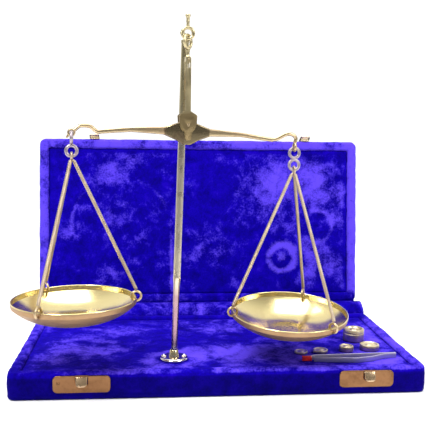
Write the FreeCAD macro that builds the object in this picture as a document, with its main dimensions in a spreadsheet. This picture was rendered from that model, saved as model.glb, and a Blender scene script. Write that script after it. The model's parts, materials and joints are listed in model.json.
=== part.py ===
"""Equal arm hand balance, set up on its pillar in an open velvet covered case.

The origin is the middle of the case's underside. X runs along the case, Y to the hinge side, Z up.
Lengths are millimetres and angles are degrees.
"""
import FreeCAD, Part
import math
import os
import re

import Sketcher
from FreeCAD import Placement, Rotation, Vector

doc = FreeCAD.newDocument("hand_balance")
sheet = doc.addObject("Spreadsheet::Sheet", "sizes")

SIZES = (
    # the case: two shallow velvet covered trays, hinged along the back
    ("case_width", 205.0, "both trays, left to right"),
    ("base_depth", 106.0, "base tray, front to back"),
    ("lid_depth", 105.0, "lid tray, front to back"),
    ("tray_thick", 13.6, "each tray, over the velvet"),
    ("lid_shift", -1.9, "the lid sits this far off centre on its hinges"),
    ("skin", 2.0, "velvet and glue on the outside walls"),
    ("skin_under", 1.6, "velvet and glue on the outside face"),
    ("skin_rim", 1.0, "velvet on the raised rim"),
    ("rim_wood", 3.0, "width of the wooden rim strip"),
    ("rim_rise", 1.6, "height of the wooden rim strip"),
    ("pad_thick", 1.1, "padded lining inside the rim"),
    ("pad_gap", 0.2, "round the lining"),
    ("tray_corner", 4.0, "radius of a tray's upright corners"),
    ("tray_edge", 1.4, "radius round a tray's outer face"),
    ("rim_edge", 1.3, "radius round a tray's rim"),
    # the hinge: a stuffed roll on the base's back wall holds the pins
    ("hinge_out", 8.6, "pin axis behind the back wall"),
    ("hinge_below", 4.2, "pin axis below the rim"),
    ("lid_lean", 6.5, "the open lid leans back from upright"),
    ("roll_radius", 9.4, "over the velvet"),
    ("dowel_radius", 7.6, "wooden core"),
    ("roll_length", 204.0, "velvet round the roll"),
    ("dowel_length", 196.0, "wooden core"),
    ("notch_width", 16.0, "slot in the roll for a knuckle"),
    ("notch_reach", 3.2, "slot past the pin axis"),
    ("hinge_apart", 120.0, "from one knuckle to the other"),
    ("pin_diameter", 2.0, "hinge pin"),
    ("pin_length", 22.0, "hinge pin"),
    ("knuckle_diameter", 5.0, "curl of the hinge leaf"),
    ("leaf_width", 13.0, "hinge leaf"),
    ("leaf_thick", 1.0, "hinge leaf"),
    # the catches on the base's front wall
    ("catch_apart", 138.5, "from one catch to the other"),
    ("catch_shift", 2.2, "the pair's middle, right of the case's middle"),
    ("catch_width", 27.2, "catch plate"),
    ("catch_tall", 8.4, "catch plate"),
    ("catch_thick", 0.8, "catch plate"),
    ("catch_up", 7.9, "catch plate's middle above the table"),
    ("catch_corner", 2.2, "catch plate's corner radius"),
    ("button_width", 5.4, "push button of a catch"),
    ("button_tall", 4.6, "push button of a catch"),
    ("button_proud", 1.9, "push button past its plate"),
    ("button_travel", 1.0, "push button"),
    ("button_gap", 0.2, "push button in its slot"),
    ("button_corner", 1.9, "radius of the button's lower corners"),
    ("right_button_off", 1.4, "the right button sits off the middle of its plate"),
    ("nail_diameter", 1.7, "brass nail head"),
    # keepers on the lid's front wall
    ("keeper_apart", 136.3, "from one keeper to the other"),
    ("keeper_width", 5.8, "keeper"),
    ("keeper_thick", 1.0, "keeper"),
    ("keeper_rise", 3.2, "keeper past the wall"),
    ("keeper_lip", 2.4, "hooked end of the keeper"),
    # the pillar and its foot
    ("foot_left", 22.5, "pillar, left of the case's middle"),
    ("foot_front", 30.5, "pillar, in front of the case's middle"),
    ("foot_diameter", 14.3, "round foot plate"),
    ("foot_thick", 1.6, "round foot plate"),
    ("foot_screws_apart", 10.4, "screws in the foot plate"),
    ("screw_head", 2.8, "round screw head"),
    ("screw_shank", 1.4, "screw shank"),
    ("screw_length", 6.5, "screw under its head"),
    ("socket_diameter", 5.2, "socket that the pillar stands in, at its foot"),
    ("socket_mouth", 4.3, "socket, at its mouth"),
    ("socket_tall", 3.4, "socket"),
    ("socket_bore", 3.38, "running fit on the pillar"),
    ("pillar_diameter", 3.3, "pillar below its step"),
    ("pillar_upper", 3.7, "pillar above its step"),
    ("pillar_step", 37.5, "step above the foot of the pillar"),
    ("pillar_tall", 156.5, "pillar above the foot plate"),
    ("pillar_lean", 1.63, "the pillar leans to the right in its socket"),
    # the hook at the top of the pillar
    ("balance_left", 17.1, "balance's own axis, left of the case's middle"),
    ("balance_front", 38.0, "balance's own axis, in front of the case's middle"),
    ("hook_up", 173.9, "middle of the hook's ring above the table"),
    ("hook_radius", 2.6, "hook's ring, to the middle of its wire"),
    ("hook_wire", 0.85, "radius of the hook's wire"),
    ("finial_foot", 0.95, "radius of the finial where it leaves the ring"),
    ("finial_tip", 1.3, "radius of the finial's flared end"),
    ("finial_tall", 6.2, "finial"),
    # the stirrup
    ("balance_yaw", 6.5, "the balance is turned left end forward"),
    ("pivot_up", 130.7, "beam's pivot above the table"),
    ("eye_radius", 3.1, "stirrup's eye, to the middle of its wire"),
    ("eye_wire", 0.75, "radius of the eye's wire"),
    ("eye_turn", 50.0, "the eye is turned across the stirrup"),
    ("link_gap", 0.15, "between linked rings"),
    ("plate_thick", 0.9, "stirrup plate"),
    ("plate_apart", 4.0, "between the two stirrup plates"),
    ("strip_half", 1.25, "half the width of a stirrup plate's leg"),
    ("strip_tall", 31.4, "stirrup plate above the pivot"),
    ("window_up", 28.2, "middle of the sighting window above the pivot"),
    ("window_width", 1.6, "sighting window"),
    ("window_tall", 3.1, "sighting window"),
    ("cheek_half", 4.4, "half the width of the stirrup's cheeks"),
    ("cheek_up", 4.9, "cheek's shoulder above the pivot"),
    ("cheek_extra", 0.7, "cheek's extra thickness"),
    ("rivet_up", 30.6, "rivet through the plates, above the pivot"),
    ("rivet_diameter", 0.9, "rivet through the plates"),
    ("knife_diameter", 1.4, "pivot pin"),
    ("knife_bore", 1.5, "pivot hole in a stirrup plate"),
    ("knife_length", 7.6, "pivot pin"),
    # the beam
    ("beam_tilt", 2.0, "the beam rests right end down"),
    ("arm_length", 54.6, "pivot to the eye at either end"),
    ("left_eye_drop", 6.2, "beam's left eye below the pivot"),
    ("right_eye_drop", 8.3, "beam's right eye below the pivot"),
    ("arm_thick", 2.2, "beam's arms, front to back"),
    ("boss_thick", 3.2, "beam's boss, front to back"),
    ("neck_wire", 0.95, "radius of the swan necks"),
    ("left_eye_radius", 1.45, "left eye, to the middle of its wire"),
    ("left_eye_wire", 0.5, "radius of the left eye's wire"),
    ("right_eye_radius", 1.95, "right eye, to the middle of its wire"),
    ("right_eye_wire", 0.6, "radius of the right eye's wire"),
    ("pointer_tall", 27.0, "pointer's tip above the pivot"),
    # swing hooks, chains and pans
    ("loop_radius", 2.5, "loop of a swing hook, to the middle of its wire"),
    ("loop_wire", 0.8, "radius of the swing hook's wire"),
    ("loops_apart", 6.0, "upper loop to lower loop"),
    ("gather_radius", 1.5, "ring that gathers the chains"),
    ("gather_wire", 0.6, "radius of that ring's wire"),
    ("chain_diameter", 1.7, "chain"),
    ("chain_spread", 1.15, "chains off the middle at the top"),
    ("pan_radius", 30.0, "pan's rim"),
    ("pan_depth", 11.0, "pan, over all"),
    ("pan_thick", 0.7, "pan's sheet"),
    ("pan_wall", 2.6, "upright band under the rim"),
    ("pan_curve", 31.0, "radius of the side between the wall and the floor"),
    ("pan_floor", 8.0, "radius of the flat floor"),
    ("left_drop", 73.5, "left swing hook's middle to the pan's rim"),
    ("right_drop", 77.4, "right swing hook's middle to the pan's rim"),
    ("rim_ring", 2.35, "wire through the rim, to the middle of its wire"),
    ("rim_wire", 0.6, "radius of that wire"),
    # loose kit on the lining
    ("blade_tall", 2.6, "tweezers' blades, on edge"),
    ("blade_thick", 0.7, "tweezers' blades"),
    ("tip_length", 4.8, "red sleeve on the tweezers' tip"),
)

for row, (alias, number, note) in enumerate(SIZES, start=1):
    sheet.set(f"A{row}", note)
    sheet.set(f"B{row}", str(number))
    sheet.setAlias(f"B{row}", alias)
doc.recompute()

ALIAS = re.compile(r"\b(" + "|".join(alias for alias, _, _ in SIZES) + r")\b")
SCRATCH_CELL = "D1"
sub_parts = []


def amount(expression):
    """The number that an expression of the sheet's aliases comes to."""
    sheet.set(SCRATCH_CELL, f"={expression}")
    sheet.recompute()
    return float(sheet.get(SCRATCH_CELL))


def bind(thing, **expressions):
    """Bind properties to expressions of the sheet's aliases."""
    for name, expression in expressions.items():
        thing.setExpression(name, ALIAS.sub(r"sizes.\1", expression))


def keep(thing, label, placement=None):
    """Name a finished sub-part and put it in its place."""
    thing.Label = label
    if placement is not None:
        thing.Placement = placement
    sub_parts.append(thing)
    return thing


# ---------------------------------------------------------------- primitives and booleans

def box(name, size, corner):
    """A Part::Box from three size expressions and its lowest corner's three expressions."""
    thing = doc.addObject("Part::Box", name)
    bind(thing, Length=size[0], Width=size[1], Height=size[2])
    for axis, expression in zip("xyz", corner):
        thing.setExpression(f"Placement.Base.{axis}", ALIAS.sub(r"sizes.\1", expression))
    return thing


def cylinder(name, radius, height, placement=None):
    thing = doc.addObject("Part::Cylinder", name)
    bind(thing, Radius=radius, Height=height)
    if placement is not None:
        thing.Placement = placement
    return thing


def ring(name, radius, wire, placement=None):
    """A torus, its axis along Z before it is placed."""
    thing = doc.addObject("Part::Torus", name)
    bind(thing, Radius1=radius, Radius2=wire)
    if placement is not None:
        thing.Placement = placement
    return thing


def fuse(name, *things):
    joined = doc.addObject("Part::MultiFuse", name)
    joined.Shapes = list(things)
    return joined


def cut(name, base, *tools):
    """Base less every tool."""
    for number, tool in enumerate(tools, start=1):
        step = doc.addObject("Part::Cut", name if number == len(tools) else f"{name}_step{number}")
        step.Base = base
        step.Tool = tool
        base = step
    return base


# ---------------------------------------------------------------- sketched bodies

def new_body(name):
    return doc.addObject("PartDesign::Body", name)


def plane_of(body, role):
    return next(item for item in body.Origin.OriginFeatures if item.Role == role)


def outline(body, name, role, points):
    """A closed sketch on one of the body's planes.

    A point is (x, y), and the run that follows it is straight, or (x, y, radius, side), and it is
    an arc that bulges to that side of the way: 1 for the left, -1 for the right.
    """
    sketch = body.newObject("Sketcher::SketchObject", f"{body.Name}_{name}")
    sketch.AttachmentSupport = (plane_of(body, role), [""])
    sketch.MapMode = "FlatFace"
    spots = [Vector(amount(point[0]), amount(point[1]), 0) for point in points]
    starts = []
    for index, point in enumerate(points):
        first, last = spots[index], spots[(index + 1) % len(points)]
        if len(point) == 2:
            sketch.addGeometry(Part.LineSegment(first, last), False)
            starts.append((index, 1, 2))
            continue
        radius, side = amount(point[2]), point[3]
        chord = last - first
        across = Vector(-chord.y, chord.x, 0).normalize()
        sagitta = radius - math.sqrt(radius ** 2 - (chord.Length / 2) ** 2)
        middle = (first + last) * 0.5 + across * sagitta * side
        curve = Part.Arc(first, middle, last)
        sketch.addGeometry(curve, False)
        starts.append((index, 1, 2) if side < 0 else (index, 2, 1))
        sketch.addConstraint(Sketcher.Constraint("Radius", index, radius))
        bind_constraint(sketch, point[2])
    for index, point in enumerate(points):
        geometry, start, _ = starts[index]
        before, _, end = starts[index - 1]
        sketch.addConstraint(Sketcher.Constraint("Coincident", before, end, geometry, start))
        for kind, expression in (("DistanceX", point[0]), ("DistanceY", point[1])):
            value = amount(expression)
            sketch.addConstraint(Sketcher.Constraint(kind, -1, 1, geometry, start, value))
            bind_constraint(sketch, expression)
    return sketch


def bind_constraint(sketch, expression):
    """Bind the sketch's newest constraint to the sheet."""
    last = sketch.ConstraintCount - 1
    sketch.setExpression(f"Constraints[{last}]", ALIAS.sub(r"sizes.\1", expression))


def circles(body, name, role, spots):
    """A sketch of circles, each (x, y, radius)."""
    sketch = body.newObject("Sketcher::SketchObject", f"{body.Name}_{name}")
    sketch.AttachmentSupport = (plane_of(body, role), [""])
    sketch.MapMode = "FlatFace"
    for index, (x, y, radius) in enumerate(spots):
        centre = Vector(amount(x), amount(y), 0)
        sketch.addGeometry(Part.Circle(centre, Vector(0, 0, 1), amount(radius)), False)
        for kind, value in (("DistanceX", x), ("DistanceY", y)):
            sketch.addConstraint(Sketcher.Constraint(kind, -1, 1, index, 3, amount(value)))
            bind_constraint(sketch, value)
        sketch.addConstraint(Sketcher.Constraint("Radius", index, amount(radius)))
        bind_constraint(sketch, radius)
    return sketch


def feature(body, kind, sketch, length=None, side_type="Symmetric", flipped=False):
    """A Pad or Pocket of a sketch; a Pocket with no length goes right through."""
    thing = body.newObject(f"PartDesign::{kind}", f"{body.Name}_{kind}_{len(body.Group)}")
    thing.Profile = sketch
    thing.SideType = side_type
    thing.Reversed = flipped
    if length is None:
        thing.Type = "ThroughAll"
    else:
        bind(thing, Length=length)
    sketch.Visibility = False
    return thing


def spun(name, points, role="XZ_Plane"):
    """A body of revolution about Z, from a half outline in X and Z."""
    body = new_body(name)
    sketch = outline(body, "profile", role, points)
    turned = body.newObject("PartDesign::Revolution", f"{name}_turned")
    turned.Profile = sketch
    turned.ReferenceAxis = (sketch, ["V_Axis"])
    turned.Angle = 360.0
    return body


def solid_along(name, points, radius, bend):
    """A round wire along straight runs, each corner rounded by an arc tangent to both."""
    corners = [Vector(*point) for point in points]
    edges = []
    here = corners[0]
    for before, corner, after in zip(corners, corners[1:], corners[2:]):
        back = (before - corner).normalize()
        onward = (after - corner).normalize()
        half = (math.pi - back.getAngle(onward)) / 2
        trim = bend * math.tan(half)
        start, end = corner + back * trim, corner + onward * trim
        inward = (back + onward).normalize()
        middle = corner + inward * (bend / math.cos(half) - bend)
        edges.append(Part.LineSegment(here, start).toShape())
        edges.append(Part.Arc(start, middle, end).toShape())
        here = end
    edges.append(Part.LineSegment(here, corners[-1]).toShape())
    path = Part.Wire(edges)
    circle = Part.Circle(corners[0], (corners[1] - corners[0]).normalize(), radius)
    tube = path.makePipeShell([Part.Wire(circle.toShape())], True, True)
    thing = doc.addObject("Part::Feature", name)
    thing.Shape = tube
    return thing


# ---------------------------------------------------------------- places shared by the sub-parts

X_AXIS = Vector(1, 0, 0)
Y_AXIS = Vector(0, 1, 0)
Z_AXIS = Vector(0, 0, 1)
UPRIGHT = Rotation()
FACING_FRONT = Rotation(X_AXIS, 90)
FACING_SIDE = Rotation(Y_AXIS, 90)

hinge_axis_y = amount("base_depth / 2 + hinge_out")
hinge_axis_z = amount("tray_thick - hinge_below")
LID_PLACE = Placement(
    Vector(
        amount("lid_shift"),
        hinge_axis_y + amount("hinge_out * sin(lid_lean) + hinge_below * cos(lid_lean)"),
        hinge_axis_z + amount("hinge_out * cos(lid_lean) - hinge_below * sin(lid_lean)"),
    ),
    Rotation(X_AXIS, 90 - amount("lid_lean")),
)
BASE_PLACE = Placement(Vector(0, amount("-base_depth / 2"), amount("tray_thick")), UPRIGHT)
lining_top = amount("tray_thick - skin_rim - rim_rise + pad_thick")

foot_top = Vector(amount("-foot_left"), amount("-foot_front"), lining_top + amount("foot_thick"))
PILLAR_PLACE = Placement(foot_top, Rotation(Y_AXIS, amount("pillar_lean")))
balance_x = amount("-balance_left")
balance_y = amount("-balance_front")
BALANCE_TURN = Rotation(Z_AXIS, amount("balance_yaw"))
STIRRUP_PLACE = Placement(Vector(balance_x, balance_y, amount("pivot_up")), BALANCE_TURN)
BEAM_TURN = BALANCE_TURN.multiply(Rotation(Y_AXIS, amount("beam_tilt")))
BEAM_PLACE = Placement(Vector(balance_x, balance_y, amount("pivot_up")), BEAM_TURN)


# ---------------------------------------------------------------- velvet trays

def velvet_tray(prefix, depth, place):
    """A wooden board with a rim strip, a velvet cover round both, and a padded lining.

    The tray lies rim up, its rim at Z = 0, from Y = 0 to its depth.
    """
    board_top = "-(skin_rim + rim_rise)"
    board_thick = "(tray_thick - skin_under - skin_rim - rim_rise)"
    inner_width = "(case_width - 2 * skin)"
    inner_depth = f"({depth} - 2 * skin)"
    corner = (f"-{inner_width} / 2", "skin", f"{board_top} - {board_thick}")

    board = box(f"{prefix}_board_block", (inner_width, inner_depth, board_thick), corner)
    rim_size = (inner_width, inner_depth, "rim_rise")
    rim_outer = box(f"{prefix}_rim_outer", rim_size, (corner[0], "skin", board_top))
    rim_inner = box(
        f"{prefix}_rim_inner",
        (f"{inner_width} - 2 * rim_wood", f"{inner_depth} - 2 * rim_wood", "rim_rise"),
        (f"-{inner_width} / 2 + rim_wood", "skin + rim_wood", board_top),
    )
    rim = cut(f"{prefix}_rim_strip", rim_outer, rim_inner)

    body = new_body(f"{prefix}_block")
    half = "case_width / 2"
    corners = ((f"-{half}", "0"), (half, "0"), (half, depth), (f"-{half}", depth))
    sketch = outline(body, "outline", "XY_Plane", corners)
    feature(body, "Pad", sketch, "tray_thick", "One side", flipped=True)
    round_edges(body, "tray_corner", is_upright)
    round_edges(body, "tray_edge", lambda edge: edge.BoundBox.ZMax < amount("-tray_thick") + 0.01)
    round_edges(body, "rim_edge", lambda edge: edge.BoundBox.ZMin > -0.01)

    lining_inset = "(skin + rim_wood + skin_rim)"
    recess_size = (
        f"case_width - 2 * {lining_inset}", f"{depth} - 2 * {lining_inset}", "rim_rise + 2 * skin_rim"
    )
    recess_corner = (f"-case_width / 2 + {lining_inset}", lining_inset, board_top)
    recess = box(f"{prefix}_recess", recess_size, recess_corner)
    cover = cut(f"{prefix}_skin", body, board, rim, recess)

    lining = box(
        f"{prefix}_lining",
        (f"{recess_size[0]} - 2 * pad_gap", f"{recess_size[1]} - 2 * pad_gap", "pad_thick"),
        (f"{recess_corner[0]} + pad_gap", f"{lining_inset} + pad_gap", board_top),
    )
    return board, rim, cover, lining


def is_upright(edge):
    extent = edge.BoundBox
    return extent.ZLength > 1 and extent.XLength < 0.01 and extent.YLength < 0.01


def round_edges(body, radius, wanted):
    """Fillet the edges of the body's tip that pass the test."""
    doc.recompute()
    tip = body.Tip
    names = [f"Edge{n}" for n, edge in enumerate(tip.Shape.Edges, start=1) if wanted(edge)]
    rounded = body.newObject("PartDesign::Fillet", f"{body.Name}_round_{len(body.Group)}")
    rounded.Base = (tip, names)
    bind(rounded, Radius=radius)
    return rounded


def place_shape(name, source, place):
    """The source's shape as a sub-part of its own, moved from the tray's frame to its place."""
    holder = doc.addObject("Part::Compound", f"{name}_placed")
    holder.Links = [source]
    return keep(holder, name, place)


CATCH_SIDES = (("left", -1, "0"), ("right", 1, "right_button_off"))
BUTTON_LOW = "(catch_up + catch_tall / 2 - button_tall - 0.5)"


def make_base():
    board, rim, cover, lining = velvet_tray("base", "base_depth", BASE_PLACE)
    bores = []
    for number, side in enumerate((-1, 1)):
        spot = Vector(foot_top.x + side * amount("foot_screws_apart / 2"), foot_top.y, 0)
        spot = spot - BASE_PLACE.Base + Vector(0, 0, foot_top.z - amount("screw_length"))
        bores.append(cylinder(f"base_screw_bore_{number}", "screw_shank / 2", "screw_length",
                              Placement(spot, UPRIGHT)))
    pockets = []
    for word, side, offset in CATCH_SIDES:
        pockets.append(box(
            f"base_button_pocket_{word}",
            ("button_width + 2 * button_gap", "skin", "button_tall + 2 * button_gap"),
            (f"catch_shift + {side} * catch_apart / 2 + {offset} - button_width / 2 - button_gap", "0",
             f"{BUTTON_LOW} - tray_thick - button_gap"),
        ))
    place_shape("base_board", cut("base_board_bored", board, *bores), BASE_PLACE)
    place_shape("base_rim", rim, BASE_PLACE)
    place_shape("base_cover", cut("base_cover_pocketed", cover, *pockets), BASE_PLACE)
    more_bores = [doc.copyObject(bore) for bore in bores]
    place_shape("base_bed", cut("base_bed_bored", lining, *more_bores), BASE_PLACE)


def make_lid():
    board, rim, cover, lining = velvet_tray("lid", "lid_depth", LID_PLACE)
    place_shape("lid_board", board, LID_PLACE)
    place_shape("lid_rim", rim, LID_PLACE)
    place_shape("lid_cover", cover, LID_PLACE)
    place_shape("lid_pad", lining, LID_PLACE)


# ---------------------------------------------------------------- hinge

def make_hinge():
    def lying(length):
        return Placement(Vector(-amount(length) / 2, hinge_axis_y, hinge_axis_z), FACING_SIDE)

    dowel = cylinder("dowel_round", "dowel_radius", "dowel_length", lying("dowel_length"))
    core = cylinder("roll_core", "dowel_radius", "dowel_length", lying("dowel_length"))
    sleeve = cylinder("roll_round", "roll_radius", "roll_length", lying("roll_length"))
    wall = box(
        "roll_wall_side",
        ("roll_length + 2", "roll_radius", "2 * roll_radius + 2"),
        ("-roll_length / 2 - 1", "base_depth / 2 - roll_radius", "-1"),
    )
    notches, pins, pin_bores = [], [], []
    for number, side in enumerate((-1, 1)):
        notches.append(box(
            f"notch_{number}",
            ("notch_width", "notch_reach + roll_radius", "notch_reach + roll_radius"),
            (f"lid_shift + {side} * hinge_apart / 2 - notch_width / 2",
             "base_depth / 2 + hinge_out - notch_reach", "tray_thick - hinge_below - notch_reach"),
        ))
        at = Vector(
            amount(f"lid_shift + {side} * hinge_apart / 2 - pin_length / 2"), hinge_axis_y, hinge_axis_z
        )
        pins.append(cylinder(f"pin_{number}", "pin_diameter / 2", "pin_length", Placement(at, FACING_SIDE)))
        pin_bores.append(cylinder(
            f"pin_bore_{number}", "pin_diameter / 2", "pin_length", Placement(at, FACING_SIDE)
        ))
    keep(cut("dowel_notched", dowel, *notches, *pin_bores), "hinge_dowel")
    sleeve_notches = [doc.copyObject(notch) for notch in notches]
    keep(cut("roll_notched", sleeve, core, wall, *sleeve_notches), "hinge_roll")
    keep(fuse("pins", *pins), "hinge_pins")

    # a leaf is a plate on the lid's hinge side wall, a strap, and a curl round the pin
    screws = []
    for word, side in (("left", -1), ("right", 1)):
        body = new_body(f"leaf_{word}")
        strap = outline(body, "strap", "YZ_Plane", (
            ("0", "-tray_thick + 2"),
            ("0", "-0.6"),
            ("-hinge_out + 1.6", "hinge_below + 1.6"),
            ("-hinge_out - 0.8", "hinge_below + 0.6"),
            ("-hinge_out + 1.2", "hinge_below - 1.7"),
            ("-leaf_thick", "-1.4"),
            ("-leaf_thick", "-tray_thick + 2"),
        ))
        feature(body, "Pad", strap, "leaf_width")
        curl = circles(body, "curl", "YZ_Plane", (("-hinge_out", "hinge_below", "knuckle_diameter / 2"),))
        feature(body, "Pad", curl, "leaf_width")
        bore = circles(body, "bore", "YZ_Plane", (("-hinge_out", "hinge_below", "pin_diameter / 2 + 0.05"),))
        feature(body, "Pocket", bore)
        offset = Placement(Vector(side * amount("hinge_apart / 2"), 0, 0), UPRIGHT)
        keep(body, f"lid_hinge_leaf_{word}", LID_PLACE.multiply(offset))
        for step in (-1, 1):
            at = Vector(
                side * amount("hinge_apart / 2") + step * amount("leaf_width / 3.6"),
                amount("-leaf_thick"), amount("-tray_thick * 0.55"),
            )
            screws.append(screw_solid(f"leaf_screw_{word}_{step + 1}", 2.4, 0.5, Placement(at, FACING_FRONT)))
    keep(fuse("leaf_screws", *screws), "lid_hinge_screws", LID_PLACE)


def screw_solid(name, head, rise, place):
    """A low domed head, Z up out of the surface that it sits on."""
    ball_radius = ((head / 2) ** 2 + rise ** 2) / (2 * rise)
    ball = Part.makeSphere(ball_radius, Vector(0, 0, rise - ball_radius))
    block = Part.makeBox(2 * head, 2 * head, rise, Vector(-head, -head, 0))
    dome = ball.common(block)
    thing = doc.addObject("Part::Feature", name)
    thing.Shape = dome
    thing.Placement = place
    return thing


# ---------------------------------------------------------------- catches and keepers

def make_catches():
    nail_at = None
    for word, side, offset in CATCH_SIDES:
        place = Placement(
            Vector(amount(f"catch_shift + {side} * catch_apart / 2"), amount("-base_depth / 2"), 0), UPRIGHT
        )
        body = new_body(f"plate_{word}")
        low, high = "(catch_up - catch_tall / 2)", "(catch_up + catch_tall / 2)"
        half = "catch_width / 2"
        sketch = outline(body, "outline", "XZ_Plane", (
            (f"-{half}", low), (half, low), (half, high), (f"-{half}", high),
        ))
        feature(body, "Pad", sketch, "catch_thick", "One side")
        round_edges(body, "catch_corner", lambda edge: edge.BoundBox.YLength > 0.5)
        round_by = "(button_corner + button_gap)"
        slot_low = f"({BUTTON_LOW} - button_gap)"
        slot_high = f"({slot_low} + button_tall + 2 * button_gap)"
        slot_left = f"({offset} - button_width / 2 - button_gap)"
        slot_right = f"({offset} + button_width / 2 + button_gap)"
        slot = outline(body, "slot", "XZ_Plane", (
            (f"{slot_left} + {round_by}", slot_low),
            (f"{slot_right} - {round_by}", slot_low, round_by, -1),
            (slot_right, f"{slot_low} + {round_by}"),
            (slot_right, slot_high),
            (slot_left, slot_high),
            (slot_left, f"{slot_low} + {round_by}", round_by, -1),
        ))
        feature(body, "Pocket", slot)
        keep(body, f"catch_plate_{word}", place)
        if word == "left":
            nail_at = place.Base + Vector(amount("-catch_width / 2 + 2.6"), 0, amount("catch_up + 0.7"))

        # the button's face leans out towards its lower edge, which is rounded
        button = new_body(f"button_{word}")
        inner = "skin - button_travel - 0.05"
        proud = "(catch_thick + button_proud)"
        top = f"({BUTTON_LOW} + button_tall)"
        wedge = outline(button, "wedge", "YZ_Plane", (
            (inner, BUTTON_LOW),
            (f"-{proud}", BUTTON_LOW),
            (f"-{proud}", f"{BUTTON_LOW} + 0.7"),
            ("-catch_thick - 0.3", top),
            (inner, top),
        ))
        feature(button, "Pad", wedge, "button_width")
        round_edges(button, "button_corner", is_lower_corner)
        aside = Placement(Vector(amount(offset), 0, 0), UPRIGHT)
        keep(button, f"catch_button_{word}", place.multiply(aside))
    nail_place = Placement(nail_at + Vector(0, amount("-catch_thick"), 0), FACING_FRONT)
    keep(screw_solid("nail", amount("nail_diameter"), 0.6, nail_place), "catch_nail")


def is_lower_corner(edge):
    """The button's two lower edges that run from front to back."""
    extent = edge.BoundBox
    return extent.ZMax < amount(BUTTON_LOW) + 0.01 and extent.YLength > 1 and extent.XLength < 0.01


def make_keepers():
    nails = []
    for word, side in (("left", -1), ("right", 1)):
        body = new_body(f"hasp_{word}")
        rise = "(lid_depth + keeper_rise)"
        bent = outline(body, "bent", "YZ_Plane", (
            ("lid_depth", "-7.6"),
            ("lid_depth + keeper_thick", "-7.6"),
            ("lid_depth + keeper_thick", "-2.2"),
            (f"{rise} - keeper_thick", "-2.2"),
            (rise, "-1.2"),
            (rise, "keeper_lip"),
            (f"{rise} - keeper_thick", "keeper_lip"),
            (f"{rise} - keeper_thick", "-1.2"),
            ("lid_depth", "-1.2"),
        ))
        feature(body, "Pad", bent, "keeper_width")
        offset = Placement(Vector(side * amount("keeper_apart / 2"), 0, 0), UPRIGHT)
        keep(body, f"keeper_{word}", LID_PLACE.multiply(offset))
        at = Vector(side * amount("keeper_apart / 2"), amount("lid_depth + keeper_thick"), -5.0)
        nails.append(screw_solid(f"keeper_nail_{word}", 1.7, 0.5, Placement(at, Rotation(X_AXIS, -90))))
    keep(fuse("keeper_nail_pair", *nails), "keeper_nails", LID_PLACE)


# ---------------------------------------------------------------- foot, pillar and hook

def make_foot():
    screw_half = "foot_screws_apart / 2"
    body = spun("foot", (
        ("0", "-foot_thick"), ("foot_diameter / 2", "-foot_thick"), ("foot_diameter / 2", "-0.5"),
        ("foot_diameter / 2 - 0.5", "0"), ("0", "0"),
    ))
    holes = circles(body, "screw_holes", "XY_Plane", (
        (f"-{screw_half}", "0", "screw_shank / 2"), (screw_half, "0", "screw_shank / 2"),
    ))
    feature(body, "Pocket", holes)
    keep(body, "foot_plate", Placement(foot_top, UPRIGHT))

    screws = []
    for number, side in enumerate((-1, 1)):
        at = foot_top + Vector(side * amount(screw_half), 0, 0)
        shank_at = at - Vector(0, 0, amount("screw_length"))
        shank_place = Placement(shank_at, UPRIGHT)
        shank = cylinder(f"foot_shank_{number}", "screw_shank / 2", "screw_length", shank_place)
        head = screw_solid(f"foot_head_{number}", amount("screw_head"), 0.9, Placement(at, UPRIGHT))
        screws.extend((shank, head))
    keep(fuse("foot_screw_pair", *screws), "foot_screws")

    socket = spun("socket", (
        ("socket_bore / 2", "0.1"), ("socket_diameter / 2", "0.1"), ("socket_diameter / 2", "0.7"),
        ("socket_mouth / 2", "socket_tall"), ("socket_bore / 2", "socket_tall"),
    ))
    keep(socket, "foot_socket", PILLAR_PLACE)


def make_pillar():
    """A rod in two thicknesses with a bead at the step, and the hook on its top."""
    rod = spun("rod", (
        ("0", "0.3"), ("pillar_diameter / 2", "0.3"), ("pillar_diameter / 2", "pillar_step"),
        ("pillar_upper / 2 + 0.15", "pillar_step + 3"), ("pillar_upper / 2", "pillar_step + 4"),
        ("pillar_upper / 2", "pillar_tall"), ("0", "pillar_tall"),
    ))
    keep(rod, "pillar_rod", PILLAR_PLACE)

    rod_top = PILLAR_PLACE.multVec(Vector(0, 0, amount("pillar_tall")))
    ring_middle = Vector(balance_x, balance_y, amount("hook_up"))
    ring_left = ring_middle - Vector(amount("hook_radius"), 0, 0)
    axis = PILLAR_PLACE.Rotation.multVec(Z_AXIS)
    shoulder = rod_top + axis * (ring_left.z - rod_top.z)
    arm = solid_along("hook_arm", (rod_top, shoulder, ring_left), amount("hook_wire") + 0.15, 1.4)
    cap = cylinder("hook_ferrule", "pillar_upper / 2 + 0.2", "1.4", Placement(rod_top, PILLAR_PLACE.Rotation))
    loop = ring("hook_loop", "hook_radius", "hook_wire", Placement(ring_middle, FACING_FRONT))
    tip_at = ring_middle + Vector(0, 0, amount("hook_radius"))
    finial = doc.addObject("Part::Cone", "hook_finial")
    bind(finial, Radius1="finial_foot", Radius2="finial_tip", Height="finial_tall")
    finial.Placement = Placement(tip_at, UPRIGHT)
    keep(fuse("hook", arm, cap, loop, finial), "pillar_hook")


# ---------------------------------------------------------------- stirrup

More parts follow.
